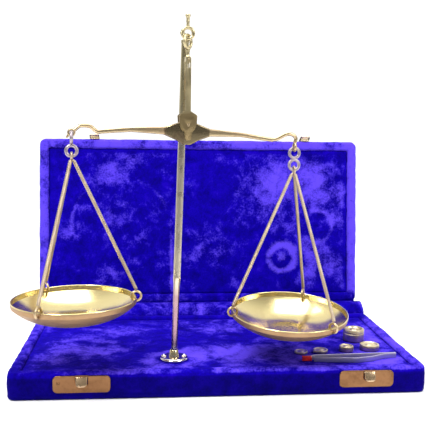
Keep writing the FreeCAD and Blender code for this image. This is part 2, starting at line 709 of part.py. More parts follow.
def make_stirrup():
    """Everything here is placed about the beam's pivot."""
    legs = (
        ("strip_half", "strip_tall"),
        ("strip_half", "cheek_up + 1.6"),
        ("cheek_half - 0.5", "cheek_up"),
        ("cheek_half", "cheek_up - 0.5"),
        ("cheek_half - 0.3", "0"),
        ("cheek_half - 1.2", "-2.2"),
        ("strip_half + 0.5", "-3.8"),
        ("strip_half + 0.4", "-6.3"),
        ("strip_half - 0.5", "-7.3"),
    )
    around = legs + tuple((f"-({x})", y) for x, y in reversed(legs))
    cheek = (
        ("cheek_half - 0.6", "cheek_up - 0.2"),
        ("cheek_half - 0.1", "cheek_up - 0.7"),
        ("cheek_half - 0.4", "0"),
        ("cheek_half - 1.4", "-2.0"),
        ("0.9", "-3.4"),
    )
    cheek_around = cheek + tuple((f"-({x})", y) for x, y in reversed(cheek))
    for word, side in (("front", -1), ("back", 1)):
        body = new_body(f"plate_of_{word}")
        feature(body, "Pad", outline(body, "outline", "XZ_Plane", around), "plate_thick")
        feature(body, "Pad", outline(body, "cheek", "XZ_Plane", cheek_around),
                "plate_thick / 2 + cheek_extra", "One side", flipped=side > 0)
        bores = circles(body, "bores", "XZ_Plane", (
            ("0", "0", "knife_bore / 2"), ("0", "rivet_up", "rivet_diameter / 2"),
        ))
        feature(body, "Pocket", bores)
        half = "window_width / 2"
        rise = "(window_tall / 2 - window_width / 2)"
        window = outline(body, "window", "XZ_Plane", (
            (f"-{half}", f"window_up - {rise}", f"{half} * 1.001", -1),
            (half, f"window_up - {rise}"),
            (half, f"window_up + {rise}", f"{half} * 1.001", -1),
            (f"-{half}", f"window_up + {rise}"),
        ))
        feature(body, "Pocket", window)
        offset = Placement(Vector(0, side * amount("(plate_apart + plate_thick) / 2"), 0), UPRIGHT)
        keep(body, f"stirrup_{word}_plate", STIRRUP_PLACE.multiply(offset))

    loop_up = amount("hook_up - hook_radius + hook_wire + link_gap - eye_radius + eye_wire - pivot_up")
    loop = ring("stirrup_eye", "eye_radius", "eye_wire",
                Placement(Vector(0, 0, loop_up), Rotation(Z_AXIS, amount("eye_turn")).multiply(FACING_FRONT)))
    neck_top = loop_up - amount("eye_radius")
    block_low, block_tall = amount("rivet_up") - 0.7, 2.3
    block = Part.makeBox(
        amount("2 * strip_half"), amount("plate_apart"), block_tall,
        Vector(-amount("strip_half"), amount("-plate_apart / 2"), block_low),
    )
    flare = Part.makeCone(1.2, 0.85, 2.4, Vector(0, 0, neck_top), Vector(0, 0, -1))
    shank = Part.makeCylinder(0.85, neck_top - block_low - 1.0, Vector(0, 0, block_low + 1.0))
    neck = doc.addObject("Part::Feature", "stirrup_neck")
    neck.Shape = block.fuse([flare, shank])
    head = fuse("stirrup_head", loop, neck)

    rivet_length = "plate_apart + 2 * plate_thick + 0.8"
    across = Placement(Vector(0, -amount(rivet_length) / 2, amount("rivet_up")), Rotation(X_AXIS, -90))
    rivet = cylinder("rivet", "rivet_diameter / 2", rivet_length, across)
    rivet_bore = cylinder("rivet_bore", "rivet_diameter / 2", rivet_length, across)
    keep(cut("stirrup_head_bored", head, rivet_bore), "stirrup_top", STIRRUP_PLACE)
    keep(rivet, "stirrup_rivet", STIRRUP_PLACE.multiply(across))


# ---------------------------------------------------------------- beam

# which way each end eye faces, and its neck: points inward from the eye and up from the pivot
EYE_SIDES = (("left", -1, FACING_FRONT), ("right", 1, FACING_SIDE))
NECKS = {
    "left": ((13.1, -5.2), (11.4, -5.1), (8.8, -2.75), (4.2, -2.75), (1.12, -5.28)),
    "right": ((13.1, -5.25), (9.3, -5.1), (5.4, -2.4), (2.0, -2.0), (-0.6, -4.2), (0.0, -6.35)),
}
TAIL = ((-55.72, 0, -7.12), (-56.9, 0, -8.7))


def make_beam():
    top = (("43", "-4.2"), ("27", "-2.4"), ("11.4", "-1.4"), ("4.6", "0.9"), ("2", "2.1"))
    under = (("-1.6", "-9.6"), ("-5.4", "-7.4"), ("-11.4", "-5.1"), ("-27", "-4.6"), ("-43", "-6.3"))
    left_top = tuple((f"-({x})", y) for x, y in reversed(top))
    right_under = tuple((x.replace("-", ""), y) for x, y in reversed(under))
    around = top + left_top + under[::-1] + right_under[::-1]
    body = new_body("arms")
    feature(body, "Pad", outline(body, "outline", "XZ_Plane", around), "arm_thick")
    boss = (("11", "-1.6"), ("4.6", "0.9"), ("2", "2.1"), ("-2", "2.1"), ("-4.6", "0.9"), ("-11", "-1.6"),
            ("-11", "-4.9"), ("-5.4", "-7.4"), ("-1.6", "-9.6"), ("1.6", "-9.6"), ("5.4", "-7.4"),
            ("11", "-4.9"))
    feature(body, "Pad", outline(body, "boss", "XZ_Plane", boss), "boss_thick")
    feature(body, "Pocket", circles(body, "bore", "XZ_Plane", (("0", "0", "knife_diameter / 2"),)))

    pieces = [body]
    reach = amount("arm_length")
    for word, side, facing in EYE_SIDES:
        drop, radius = amount(f"{word}_eye_drop"), amount(f"{word}_eye_radius")
        points = [(side * (reach - x), 0, z) for x, z in NECKS[word]]
        pieces.append(solid_along(f"neck_{word}", points, amount("neck_wire"), 1.3))
        eye_place = Placement(Vector(side * reach, 0, -drop), facing)
        pieces.append(ring(f"end_eye_{word}", f"{word}_eye_radius", f"{word}_eye_wire", eye_place))
    pieces.append(solid_along("neck_tail", TAIL, amount("left_eye_wire"), 0))
    keep(fuse("beam_whole", *pieces), "beam", BEAM_PLACE)

    pin_at = Vector(0, amount("-knife_length / 2"), 0)
    pin = cylinder("pin", "knife_diameter / 2", "knife_length", Placement(pin_at, Rotation(X_AXIS, -90)))
    keep(pin, "knife_pin", BEAM_PLACE.multiply(pin.Placement))

    needle = new_body("needle")
    sketch = outline(needle, "outline", "XZ_Plane", (
        ("-0.7", "2.1"), ("0.7", "2.1"), ("0.25", "pointer_tall"), ("-0.25", "pointer_tall"),
    ))
    feature(needle, "Pad", sketch, "0.8")
    keep(needle, "pointer", BEAM_PLACE)


# ---------------------------------------------------------------- swing hooks, chains and pans

def hanging_point(word, side):
    """The middle of a beam's end eye."""
    return BEAM_PLACE.multVec(Vector(side * amount("arm_length"), 0, amount(f"-{word}_eye_drop")))


def make_swing_hook(word, side, upper_facing):
    """Two joined loops: the upper one hangs in the beam's eye, across it, and the lower one faces front."""
    play = f"({word}_eye_radius - {word}_eye_wire - loop_wire - link_gap)"
    upper = hanging_point(word, side) - Vector(0, 0, amount(f"loop_radius + {play}"))
    lower = upper - Vector(0, 0, amount("loops_apart"))
    loops = []
    for name, at, facing in (("upper", upper, upper_facing), ("lower", lower, FACING_FRONT)):
        place = Placement(at, BALANCE_TURN.multiply(facing))
        loops.append(ring(f"{name}_loop_{word}", "loop_radius", "loop_wire", place))
    keep(fuse(f"swing_hook_{word}", *loops), f"s_hook_{word}")
    return lower - Vector(0, 0, amount("loop_radius"))


PAN_SIDES = (
    # name, side, upper loop, pan off to the right, direction of the first chain, tilt about X and about Y
    ("left", -1, FACING_SIDE, 0.5, 4.0, 0.3, -0.8),
    ("right", 1, FACING_FRONT, -0.5, 65.0, 6.0, 1.0),
)


def make_pan(word, side, upper_facing, off, first_chain, tilt_x, tilt_y):
    loop_bottom = make_swing_hook(word, side, upper_facing)
    gather = loop_bottom + Vector(0, 0, amount("loop_wire + link_gap - gather_radius + gather_wire"))
    facing = BALANCE_TURN.multiply(FACING_SIDE)
    keep(ring(f"gather_{word}", "gather_radius", "gather_wire", Placement(gather, facing)),
         f"chain_ring_{word}", Placement(gather, facing))

    below = amount(f"{word}_drop - loops_apart / 2 - loop_radius")
    rim_middle = loop_bottom + Vector(off, 0, -below)
    turn = Rotation(Y_AXIS, tilt_y).multiply(Rotation(X_AXIS, tilt_x))
    place = Placement(rim_middle, turn)
    chain_top = gather - Vector(0, 0, amount("gather_radius + gather_wire + 0.3"))
    angles = [first_chain + 120 * n for n in range(3)]

    hooks, holes = [], []
    for number, angle in enumerate(angles, start=1):
        outward = Rotation(Z_AXIS, angle)
        ring_at = outward.multVec(Vector(amount("pan_radius - pan_thick / 2"), 0, 0))
        upright = outward.multiply(FACING_FRONT)
        hooks.append(ring(f"rim_hook_{word}_{number}", "rim_ring", "rim_wire", Placement(ring_at, upright)))
        hole_at = outward.multVec(Vector(amount("pan_radius - 3"), 0, amount("-rim_ring")))
        holes.append(cylinder(f"rim_hole_{word}_{number}", "rim_wire + 0.25", "5",
                              Placement(hole_at, outward.multiply(FACING_SIDE))))
        ring_top = place.multVec(ring_at + Vector(0, 0, amount("rim_ring + rim_wire + 0.5")))
        start = chain_top + outward.multVec(Vector(amount("chain_spread"), 0, 0))
        run = ring_top - start
        chain = cylinder(f"chain_round_{word}_{number}", "chain_diameter / 2", "1")
        chain.setExpression("Height", None)
        chain.Height = run.Length
        keep(chain, f"chain_{word}_{number}", Placement(start, Rotation(Z_AXIS, run)))
    keep(fuse(f"rim_hooks_{word}_three", *hooks), f"rim_hooks_{word}", place)

    dish = spun(f"dish_{word}", (
        ("0", "-pan_depth"),
        ("pan_floor", "-pan_depth", "pan_curve", -1),
        ("pan_radius - 0.3", "-pan_wall"),
        ("pan_radius", "0"),
        ("pan_radius - pan_thick", "0"),
        ("pan_radius - 0.3 - pan_thick", "-pan_wall", "pan_curve - pan_thick", 1),
        ("pan_floor", "-pan_depth + pan_thick"),
        ("0", "-pan_depth + pan_thick"),
    ))
    keep(cut(f"dish_bored_{word}", dish, *holes), f"pan_{word}", place)


# ---------------------------------------------------------------- weights and tweezers

WEIGHTS = (
    # name, radius, height, right of the middle, in front of the middle
    ("weight_large", "5.85", "6.7", 79.3, 2.0),
    ("weight_medium", "5.2", "2.8", 83.3, 19.0),
    ("weight_small", "3.8", "2.8", 69.9, 21.3),
    ("weight_thin", "3.9", "1.5", 55.4, 23.0),
    ("weight_least", "3.4", "1.2", 44.8, 24.1),
)


def make_weights():
    """Turned brass weights: a chamfered cylinder, dished on top round a low button."""
    for name, radius, tall, right, front in WEIGHTS:
        body = spun(f"turned_{name}", (
            ("0", "0"), (f"{radius} * 0.94", "0"), (radius, f"{tall} * 0.12"), (radius, f"{tall} * 0.86"),
            (f"{radius} * 0.94", tall), (f"{radius} * 0.8", tall), (f"{radius} * 0.74", f"{tall} * 0.84"),
            (f"{radius} * 0.4", f"{tall} * 0.84"), (f"{radius} * 0.34", f"{tall} * 0.97"),
            ("0", f"{tall} * 0.97"),
        ))
        keep(body, name, Placement(Vector(right, -front, lining_top + 0.05), UPRIGHT))


def make_tweezers():
    """Two thin blades on edge, joined at the bow on the right; the front one is bowed out."""
    bow = Vector(91.9, -33.6, lining_top + 0.05)
    back = new_body("blade_back")
    rear_path = ((0.8, 0), (-42, -1.9), (-48.6, -3.7))
    feature(back, "Pad", ribbon(back, rear_path, "0"), "blade_tall", "One side")
    keep(back, "tweezer_rear_blade", Placement(bow, UPRIGHT))

    front = new_body("blade_front")
    front_path = ((0.8, 0), (-6, -1.2), (-14, -5.2), (-22.6, -7.0), (-36.4, -5.6), (-43.6, -4.4))
    feature(front, "Pad", ribbon(front, front_path, "-(blade_thick + 0.1)"), "blade_tall", "One side")
    keep(front, "tweezer_front_blade", Placement(bow, UPRIGHT))

    rivet_at = bow + Vector(-1.2, amount("blade_thick / 2") + 0.02, amount("blade_tall / 2"))
    keep(screw_solid("bow_rivet", 1.6, 0.4, Placement(rivet_at, Rotation(X_AXIS, -90))), "tweezer_rivet")

    sleeve = box("sleeve_block", ("tip_length", "1.9", "blade_tall"), ("-49.3", "-4.6", "0"))
    rounded = doc.addObject("Part::Fillet", "sleeve_rounded")
    rounded.Base = sleeve
    doc.recompute()
    along = [n for n, edge in enumerate(sleeve.Shape.Edges, start=1) if edge.BoundBox.XLength > 1]
    rounded.Edges = [(n, 0.5, 0.5) for n in along]
    inside = new_body("sleeve_socket")
    feature(inside, "Pad", ribbon(inside, rear_path, "0"), "blade_tall", "One side")
    keep(cut("sleeve", rounded, inside), "tweezer_tip", Placement(bow, UPRIGHT))


def ribbon(body, path, shift):
    """The outline of a blade as thick as blade_thick, along a path from right to left."""
    half = "blade_thick / 2"
    upper = [(f"{x}", f"{y} + {shift} + {half}") for x, y in path]
    lower = [(f"{x}", f"{y} + {shift} - {half}") for x, y in path]
    return outline(body, "outline", "XY_Plane", tuple(upper + lower[::-1]))


# ---------------------------------------------------------------- build, check and write

make_base()
make_lid()
make_hinge()
make_catches()
make_keepers()
make_foot()
make_pillar()
make_stirrup()
make_beam()
for pan_side in PAN_SIDES:
    make_pan(*pan_side)
make_weights()
make_tweezers()
sheet.clear(SCRATCH_CELL)
doc.recompute()

for thing in doc.Objects:
    if {"Invalid", "Error"} & set(thing.State):
        raise RuntimeError(f"{thing.Name} failed: {thing.State}")
os.makedirs("parts", exist_ok=True)
for thing in sub_parts:
    shape = thing.Shape
    if shape.isNull() or not shape.isValid() or not shape.Solids:
        raise RuntimeError(f"{thing.Label} has no valid solid")
    shape.exportStep(f"parts/{thing.Label}.step")
print(f"{len(sub_parts)} sub-parts written")
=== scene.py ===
import json
import math
from contextlib import contextmanager

import bmesh
import bpy
import numpy as np
from mathutils import Matrix, Vector, noise


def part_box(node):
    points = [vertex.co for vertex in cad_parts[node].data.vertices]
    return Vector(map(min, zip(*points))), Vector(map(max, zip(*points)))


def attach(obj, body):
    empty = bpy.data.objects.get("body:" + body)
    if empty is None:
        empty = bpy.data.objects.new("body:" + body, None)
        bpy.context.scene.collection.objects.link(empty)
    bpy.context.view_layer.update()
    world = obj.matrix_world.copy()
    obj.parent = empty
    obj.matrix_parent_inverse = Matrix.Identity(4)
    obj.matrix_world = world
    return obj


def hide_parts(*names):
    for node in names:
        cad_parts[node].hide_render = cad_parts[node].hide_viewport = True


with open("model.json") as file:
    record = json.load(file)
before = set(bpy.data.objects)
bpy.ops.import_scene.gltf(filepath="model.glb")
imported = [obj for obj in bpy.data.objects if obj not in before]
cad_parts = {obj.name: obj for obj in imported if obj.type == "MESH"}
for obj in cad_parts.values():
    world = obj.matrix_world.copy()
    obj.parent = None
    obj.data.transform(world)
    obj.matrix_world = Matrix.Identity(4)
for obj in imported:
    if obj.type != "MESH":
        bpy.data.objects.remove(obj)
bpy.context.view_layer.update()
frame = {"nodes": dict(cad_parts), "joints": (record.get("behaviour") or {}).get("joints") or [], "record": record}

MM = 0.001
UP = Vector((0, 0, 1))
RIGHT = Vector((1, 0, 0))
JOINTS = {joint["name"]: joint for joint in frame["joints"]}

SKIN = 2.0 * MM
SKIN_UNDER = 1.6 * MM
RIM_ABOVE_BOARD = 2.6 * MM
TRAY_THICK = 13.6 * MM


# ---- measuring the frame

def spots_of(node):
    """A CAD node's vertices, as an array."""
    return np.array([vertex.co for vertex in frame["nodes"][node].data.vertices], float)


def loose_parts(node):
    """The middles of a node's separate solids."""
    mesh = bmesh.new()
    mesh.from_mesh(frame["nodes"][node].data)
    bmesh.ops.remove_doubles(mesh, verts=mesh.verts, dist=1e-7)
    seen, middles = set(), []
    for first in mesh.verts:
        if first in seen:
            continue
        group = [first]
        seen.add(first)
        for vertex in group:
            for edge in vertex.link_edges:
                other = edge.other_vert(vertex)
                if other not in seen:
                    seen.add(other)
                    group.append(other)
        middles.append(sum((vertex.co for vertex in group), Vector()) / len(group))
    mesh.free()
    return middles


def ends_of(node):
    """The lower and upper ends of a straight rod's middle line."""
    spots = spots_of(node)
    around = spots - spots.mean(0)
    along = np.linalg.svd(around, full_matrices=False)[2][0]
    along *= np.sign(along[2])
    reach = around @ along
    centre = spots.mean(0) + along * (reach.max() + reach.min()) / 2
    half = (reach.max() - reach.min()) / 2
    return Vector(centre - along * half), Vector(centre + along * half)


def frame_matrix(origin, x_axis, y_axis, z_axis):
    matrix = Matrix((x_axis, y_axis, z_axis)).transposed().to_4x4()
    matrix.translation = origin
    return matrix


def tray_frame(board, out_of_rim):
    """A tray's own frame: origin in the middle of its rim, Z out of the rim, Y away from the hinge for
    the lid and towards it for the base. Also its width and depth over the velvet."""
    spots = spots_of(board)
    corners = spots.round(6)
    centre = Vector((corners.max(0) + corners.min(0)) / 2)
    z_axis = out_of_rim.normalized()
    y_axis = z_axis.cross(RIGHT)
    width = np.ptp(spots[:, 0]) + 2 * SKIN
    depth = np.ptp(spots @ np.array(y_axis)) + 2 * SKIN
    rim_above = (TRAY_THICK - SKIN_UNDER + RIM_ABOVE_BOARD) / 2
    return frame_matrix(centre + z_axis * rim_above, RIGHT, y_axis, z_axis), width, depth


# ---- mesh helpers

@contextmanager
def editing(mesh):
    """The mesh opened for editing, and written back at the end."""
    opened = bmesh.new()
    opened.from_mesh(mesh)
    yield opened
    opened.to_mesh(mesh)
    opened.free()


def linked(name, data):
    """A new object in the scene."""
    made = bpy.data.objects.new(name, data)
    bpy.context.scene.collection.objects.link(made)
    return made


def use_material(mesh, material):
    mesh.materials.clear()
    mesh.materials.append(material)


def copied(node, name, material):
    """A copy of a CAD node's own mesh, to be worked on."""
    mesh = frame["nodes"][node].data.copy()
    use_material(mesh, material)
    return linked(name, mesh)


def in_mm(points):
    return [(x * MM, y * MM) for x, y in points]


def finish_piece(piece, body, replaced):
    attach(piece, body)
    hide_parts(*replaced)


def piece_from(name, spots, faces, material, matrix=None, smooth=True):
    mesh = bpy.data.meshes.new(name)
    mesh.from_pydata([tuple(spot) for spot in spots], [], faces)
    if matrix is not None:
        mesh.transform(matrix)
    mesh.validate()
    with editing(mesh) as opened:
        bmesh.ops.recalc_face_normals(opened, faces=opened.faces)
    mesh.materials.append(material)
    if smooth:
        mesh.shade_smooth()
    return linked(name, mesh)


def applied(piece, *modifiers):
    """Apply modifiers, each (type, settings), and leave a plain mesh."""
    for kind, settings in modifiers:
        modifier = piece.modifiers.new(kind.lower(), kind)
        for key, value in settings.items():
            setattr(modifier, key, value)
    mesh = evaluated(piece)
    piece.modifiers.clear()
    old = piece.data
    piece.data = mesh
    bpy.data.meshes.remove(old)


def evaluated(piece):
    bpy.context.view_layer.update()
    graph = bpy.context.evaluated_depsgraph_get()
    return bpy.data.meshes.new_from_object(piece.evaluated_get(graph))


def arc(centre, radius, start, stop, steps):
    """Points on an arc, its angles in degrees."""
    angles = [math.radians(start + (stop - start) * n / steps) for n in range(steps + 1)]
    return [(centre[0] + radius * math.cos(a), centre[1] + radius * math.sin(a)) for a in angles]


def turned(name, profile, matrix, material, steps, crisp=None):
    """A solid of revolution about the matrix's Z, from (radius, height) points, open ends on the axis.
    Edges sharper than crisp degrees stay crisp."""
    spots, faces = [], []
    count = len(profile)
    for step in range(steps):
        angle = 2 * math.pi * step / steps
        following = (step + 1) % steps
        for radius, height in profile:
            spots.append((radius * math.cos(angle), radius * math.sin(angle), height))
        for n in range(count - 1):
            faces.append((step * count + n, following * count + n,
                          following * count + n + 1, step * count + n + 1))
    piece = piece_from(name, spots, faces, material, matrix)
    weld(piece)
    if crisp:
        sharpen(piece, crisp)
    return piece


def weld(piece, distance=1e-6):
    with editing(piece.data) as mesh:
        bmesh.ops.remove_doubles(mesh, verts=mesh.verts, dist=distance)
        bmesh.ops.recalc_face_normals(mesh, faces=mesh.faces)


def shell_faces(rings, count, base=0):
    """The faces of a closed solid made of rings of points, one ring after the other."""
    faces = []
    for ring in range(rings - 1):
        this, after = base + ring * count, base + (ring + 1) * count
        for n in range(count):
            following = (n + 1) % count
            faces.append((this + n, this + following, after + following, after + n))
    last = base + (rings - 1) * count
    return faces + [tuple(range(base, base + count))[::-1], tuple(range(last, last + count))]


def torus(name, matrix, radius, wire, material, around=64, across=24):
    """A ring about the matrix's Z."""
    spots, faces = [], []
    for a in range(around):
        turn = 2 * math.pi * a / around
        this, following = a * across, (a + 1) % around * across
        for b in range(across):
            tilt = 2 * math.pi * b / across
            out = radius + wire * math.cos(tilt)
            spots.append((out * math.cos(turn), out * math.sin(turn), wire * math.sin(tilt)))
            after = (b + 1) % across
            faces.append((this + b, following + b, following + after, this + after))
    return piece_from(name, spots, faces, material, matrix)


def tube(name, route, radii, material, matrix=None):
    """A round wire along a list of points, with a radius at each, on twist-free rings."""
    sides = 20
    points = [Vector(point) for point in route]
    if not hasattr(radii, "__len__"):
        radii = [radii] * len(points)
    spots, side = [], None
    for n, point in enumerate(points):
        before, after = points[max(n - 1, 0)], points[min(n + 1, len(points) - 1)]
        ahead = (after - before).normalized()
        if side is None:
            side = ahead.orthogonal().normalized()
        side = (side - ahead * side.dot(ahead)).normalized()
        other = ahead.cross(side)
        for k in range(sides):
            angle = 2 * math.pi * k / sides
            spots.append(point + (side * math.cos(angle) + other * math.sin(angle)) * radii[n])
    return piece_from(name, spots, shell_faces(len(points), sides), material, matrix)


def smooth_route(corners, steps=10):
    """A uniform B-spline through its end points, near its corners."""
    points = [Vector(corner) for corner in corners]
    padded = [points[0]] * 2 + points + [points[-1]] * 2
    route = []
    for a, b, c, d in zip(padded, padded[1:], padded[2:], padded[3:]):
        for step in range(steps):
            u = step / steps
            route.append((a * (1 - u) ** 3 + b * (3 * u ** 3 - 6 * u ** 2 + 4)
                          + c * (-3 * u ** 3 + 3 * u ** 2 + 3 * u + 1) + d * u ** 3) / 6)
    route.append(points[-1])
    unique = [route[0]]
    for point in route[1:]:
        if (point - unique[-1]).length > 1e-6:
            unique.append(point)
    return unique


def plate(name, outlines, thick, bevel, matrix, material):
    """A flat plate with bevelled edges, from closed outlines in the matrix's X and Y: the first is its
    edge and the others are its holes. It is centred on the matrix's Z = 0."""
    curve = bpy.data.curves.new(name, "CURVE")
    curve.dimensions = "2D"
    curve.fill_mode = "BOTH"
    for outline in outlines:
        spline = curve.splines.new("POLY")
        spline.points.add(len(outline) - 1)
        for point, (x, y) in zip(spline.points, outline):
            point.co = (x, y, 0, 1)
        spline.use_cyclic_u = True
    curve.bevel_depth = bevel
    curve.bevel_resolution = 3
    curve.offset = -bevel
    curve.extrude = thick / 2 - bevel
    shaped = linked(name, curve)
    mesh = evaluated(shaped)
    bpy.data.objects.remove(shaped)
    bpy.data.curves.remove(curve)
    mesh.name = name
    mesh.transform(matrix)
    use_material(mesh, material)
    piece = linked(name, mesh)
    weld(piece, 2e-6)
    mesh.shade_smooth()
    sharpen(piece, 40)
    return piece


def sharpen(piece, degrees):
    """Keep edges sharper than this angle crisp."""
    limit = math.radians(degrees)
    with editing(piece.data) as mesh:
        for edge in mesh.edges:
            edge.smooth = len(edge.link_faces) == 2 and edge.calc_face_angle(0) < limit


def bevelled_copy(node, body, material, width):
    """A CAD node's own shape with its edges eased, as a piece that replaces it."""
    piece = copied(node, f"{node}_eased", material)
    with editing(piece.data) as mesh:
        bmesh.ops.remove_doubles(mesh, verts=mesh.verts, dist=1e-6)
        bmesh.ops.dissolve_limit(mesh, angle_limit=math.radians(1), verts=mesh.verts, edges=mesh.edges)
    applied(piece, ("BEVEL", {"width": width, "segments": 3, "limit_method": "ANGLE",
                              "angle_limit": math.radians(35), "use_clamp_overlap": True}))
    piece.data.shade_smooth()
    sharpen(piece, 50)
    finish_piece(piece, body, (node,))


def rumple(piece, amount):
    """Move each vertex along its normal by amount(place)."""
    mesh = piece.data
    normals = [vertex.normal.copy() for vertex in mesh.vertices]
    for vertex, normal in zip(mesh.vertices, normals):
        vertex.co += normal * amount(vertex.co)
    mesh.update()


# ---- material helpers

class Look:
    """A material under construction: its node tree, its shader and its coordinates."""

    def __init__(self, name, **sockets):
        self.material = bpy.data.materials.new(name)
        self.material.use_nodes = True
        self.tree = self.material.node_tree
        self.shader = self.tree.nodes["Principled BSDF"]
        for key, value in sockets.items():
            self.shader.inputs[key.replace("_", " ")].default_value = value
        coordinates = self.tree.nodes.new("ShaderNodeTexCoord")
        self.place = coordinates.outputs["Object"]

    def node(self, kind, inputs=None, **settings):
        added = self.tree.nodes.new(kind)
        for key, value in settings.items():
            setattr(added, key, value)
        for key, value in (inputs or {}).items():
            socket = added.inputs[key]
            if hasattr(value, "is_output"):
                self.tree.links.new(value, socket)
            else:
                socket.default_value = value
        return added

    def noise(self, scale, detail=3.0, distortion=0.0, roughness=0.5, place=None):
        inputs = {"Vector": place or self.place, "Scale": scale, "Detail": detail, "Roughness": roughness,
                  "Distortion": distortion}
        return self.node("ShaderNodeTexNoise", inputs).outputs["Fac"]

    def stretch(self, value, low, high, start=0.0, stop=1.0):
        inputs = {"Value": value, "From Min": low, "From Max": high, "To Min": start, "To Max": stop}
        return self.node("ShaderNodeMapRange", inputs, interpolation_type="SMOOTHSTEP").outputs["Result"]

    def stretched(self, *scale):
        """The coordinates, squeezed by these amounts so that patterns on them stretch."""
        return self.node("ShaderNodeMapping", {"Vector": self.place, "Scale": scale}).outputs["Vector"]

    def maths(self, operation, first, second, clamp=False):
        return self.node("ShaderNodeMath", {0: first, 1: second}, operation=operation,
                         use_clamp=clamp).outputs[0]

    def roughened(self, value, pattern, amount):
        """The value, moved up and down by a pattern that runs from 0 to 1."""
        return self.maths("ADD", value, self.maths("MULTIPLY", self.maths("SUBTRACT", pattern, 0.5), amount))

    def mix(self, amount, first, second):
        mixer = self.node("ShaderNodeMix", {"Factor": amount}, data_type="RGBA")
        for key, value in (("A", first), ("B", second)):
            socket = next(s for s in mixer.inputs if s.name == key and s.type == "RGBA")
            if hasattr(value, "is_output"):
                self.tree.links.new(value, socket)
            else:
                socket.default_value = value
        return next(s for s in mixer.outputs if s.type == "RGBA")

    def ramp(self, value, stops):
        ramp = self.node("ShaderNodeValToRGB", {"Fac": value})
        elements = ramp.color_ramp.elements
        while len(elements) < len(stops):
            elements.new(0.5)
        for element, (position, colour) in zip(elements, stops):
            element.position = position
            element.color = colour
        return ramp.outputs["Color"]

    def bump(self, height, strength, distance, below=None):
        inputs = {"Height": height, "Strength": strength, "Distance": distance}
        if below is not None:
            inputs["Normal"] = below
        return self.node("ShaderNodeBump", inputs).outputs["Normal"]

    def link(self, value, socket):
        self.tree.links.new(value, self.shader.inputs[socket])


def rgb(red, green, blue):
    return (red, green, blue, 1.0)


def velvet(name):
    """Crushed velvet: where the nap lies over it turns pale violet blue. The mesh's "nap" attribute says
    how readily it does so; it also carries painted light, raised for a painted highlight and lowered for painted
    shade."""
    look = Look(name, Roughness=0.9, Sheen_Weight=0.10, Sheen_Roughness=0.4,
                Sheen_Tint=rgb(0.20, 0.08, 1.0), Specular_IOR_Level=0.03)
    nap_and_painted_light = look.node("ShaderNodeAttribute", attribute_name="nap").outputs["Fac"]
    wide = look.noise(34, 8.0, 0.25, 0.62)
    middle = look.noise(135, 6.0, 0.3, 0.66)
    grain = look.noise(950, 4.0, 0.0, 0.72)
    nap = look.maths("ADD", look.maths("MULTIPLY", wide, 0.58), look.maths("MULTIPLY", middle, 0.42))
    rough_nap = look.maths("ADD", look.roughened(nap, grain, 0.30), nap_and_painted_light)
    pale = look.stretch(rough_nap, 0.515, 0.715)
    deep = look.ramp(look.roughened(middle, grain, 0.5),
                     ((0.30, rgb(0.0022, 0.0, 0.15)), (0.55, rgb(0.0045, 0.0, 0.30)),
                      (0.75, rgb(0.012, 0.001, 0.42))))
    # painted shade: where the nap value is lowest, as on the walls, the colour is mixed towards black
    shaded = look.stretch(nap_and_painted_light, -0.30, -0.10, 0.45, 1.0)
    seen = look.mix(pale, deep, rgb(0.095, 0.050, 0.68))
    look.link(look.mix(shaded, rgb(0.0, 0.0, 0.0), seen), "Base Color")
    pile = look.bump(grain, 0.45, 0.30 * MM)
    look.link(look.bump(nap, 0.45, 1.0 * MM, pile), "Normal")
    return look.material


def paint_nap_and_light(piece, amounts):
    """Store how readily each vertex's nap looks pale, together with any painted highlight and painted shade."""
    piece.data.attributes.new("nap", "FLOAT", "POINT").data.foreach_set("value", amounts)


def metal(name, colour, shade, roughness, wear=0.5, coat=0.0):
    """Polished metal with faint clouding, rubbing marks and a slightly uneven surface."""
    look = Look(name, Metallic=1.0, Coat_Weight=coat, Coat_Roughness=0.15)
    cloud = look.noise(90, 4.0, 0.6, 0.6)
    spots = look.noise(700, 3.0, 0.0, 0.6)
    stain = look.stretch(look.maths("ADD", look.maths("MULTIPLY", cloud, 0.75),
                                    look.maths("MULTIPLY", spots, 0.25)), 0.42, 0.66)
    colour_out = look.mix(look.maths("MULTIPLY", stain, wear), rgb(*colour), rgb(*shade))
    look.link(colour_out, "Base Color")
    rubbed = look.maths("ADD", look.maths("MULTIPLY", stain, 0.14 * wear + 0.02), roughness)
    look.link(rubbed, "Roughness")
    lines = look.noise(420, 2.0, 0.0, 0.5, look.stretched(1.0, 14.0, 1.0))
    look.link(look.bump(lines, 0.0625, 0.05 * MM), "Normal")
    return look.material


def faded(name, low, high, stops, rough):
    """Brass whose colour goes from one stop to the next between two heights, a little unevenly."""
    look = Look(name, Metallic=1.0)
    cloud = look.noise(90, 4.0, 0.6, 0.6)
    height = look.node("ShaderNodeSeparateXYZ", {"Vector": look.place}).outputs["Z"]
    uneven = look.roughened(height, cloud, 0.1 * (high - low))
    share = look.maths("DIVIDE", look.maths("SUBTRACT", uneven, low), high - low, clamp=True)
    look.link(look.ramp(share, stops), "Base Color")
    look.link(look.stretch(cloud, 0.3, 0.7, *rough), "Roughness")
    look.link(look.bump(cloud, 0.1, 0.05 * MM), "Normal")
    return look.material


def wood(name):
    look = Look(name, Roughness=0.7)
    rings = look.noise(420, 4.0, 0.8, 0.6, look.stretched(0.12, 1.0, 1.0))
    look.link(look.ramp(rings, ((0.3, rgb(0.30, 0.16, 0.07)), (0.7, rgb(0.52, 0.33, 0.17)))), "Base Color")
    look.link(look.bump(rings, 0.3, 0.1 * MM), "Normal")
    return look.material


def gloss_red(name):
    look = Look(name, Roughness=0.25, Coat_Weight=0.4, Coat_Roughness=0.1)
    mottle = look.noise(900, 3.0)
    reds = ((0.3, rgb(0.35, 0.008, 0.006)), (0.7, rgb(0.75, 0.03, 0.015)))
    look.link(look.ramp(mottle, reds), "Base Color")
    look.link(look.bump(mottle, 0.15, 0.05 * MM), "Normal")
    return look.material


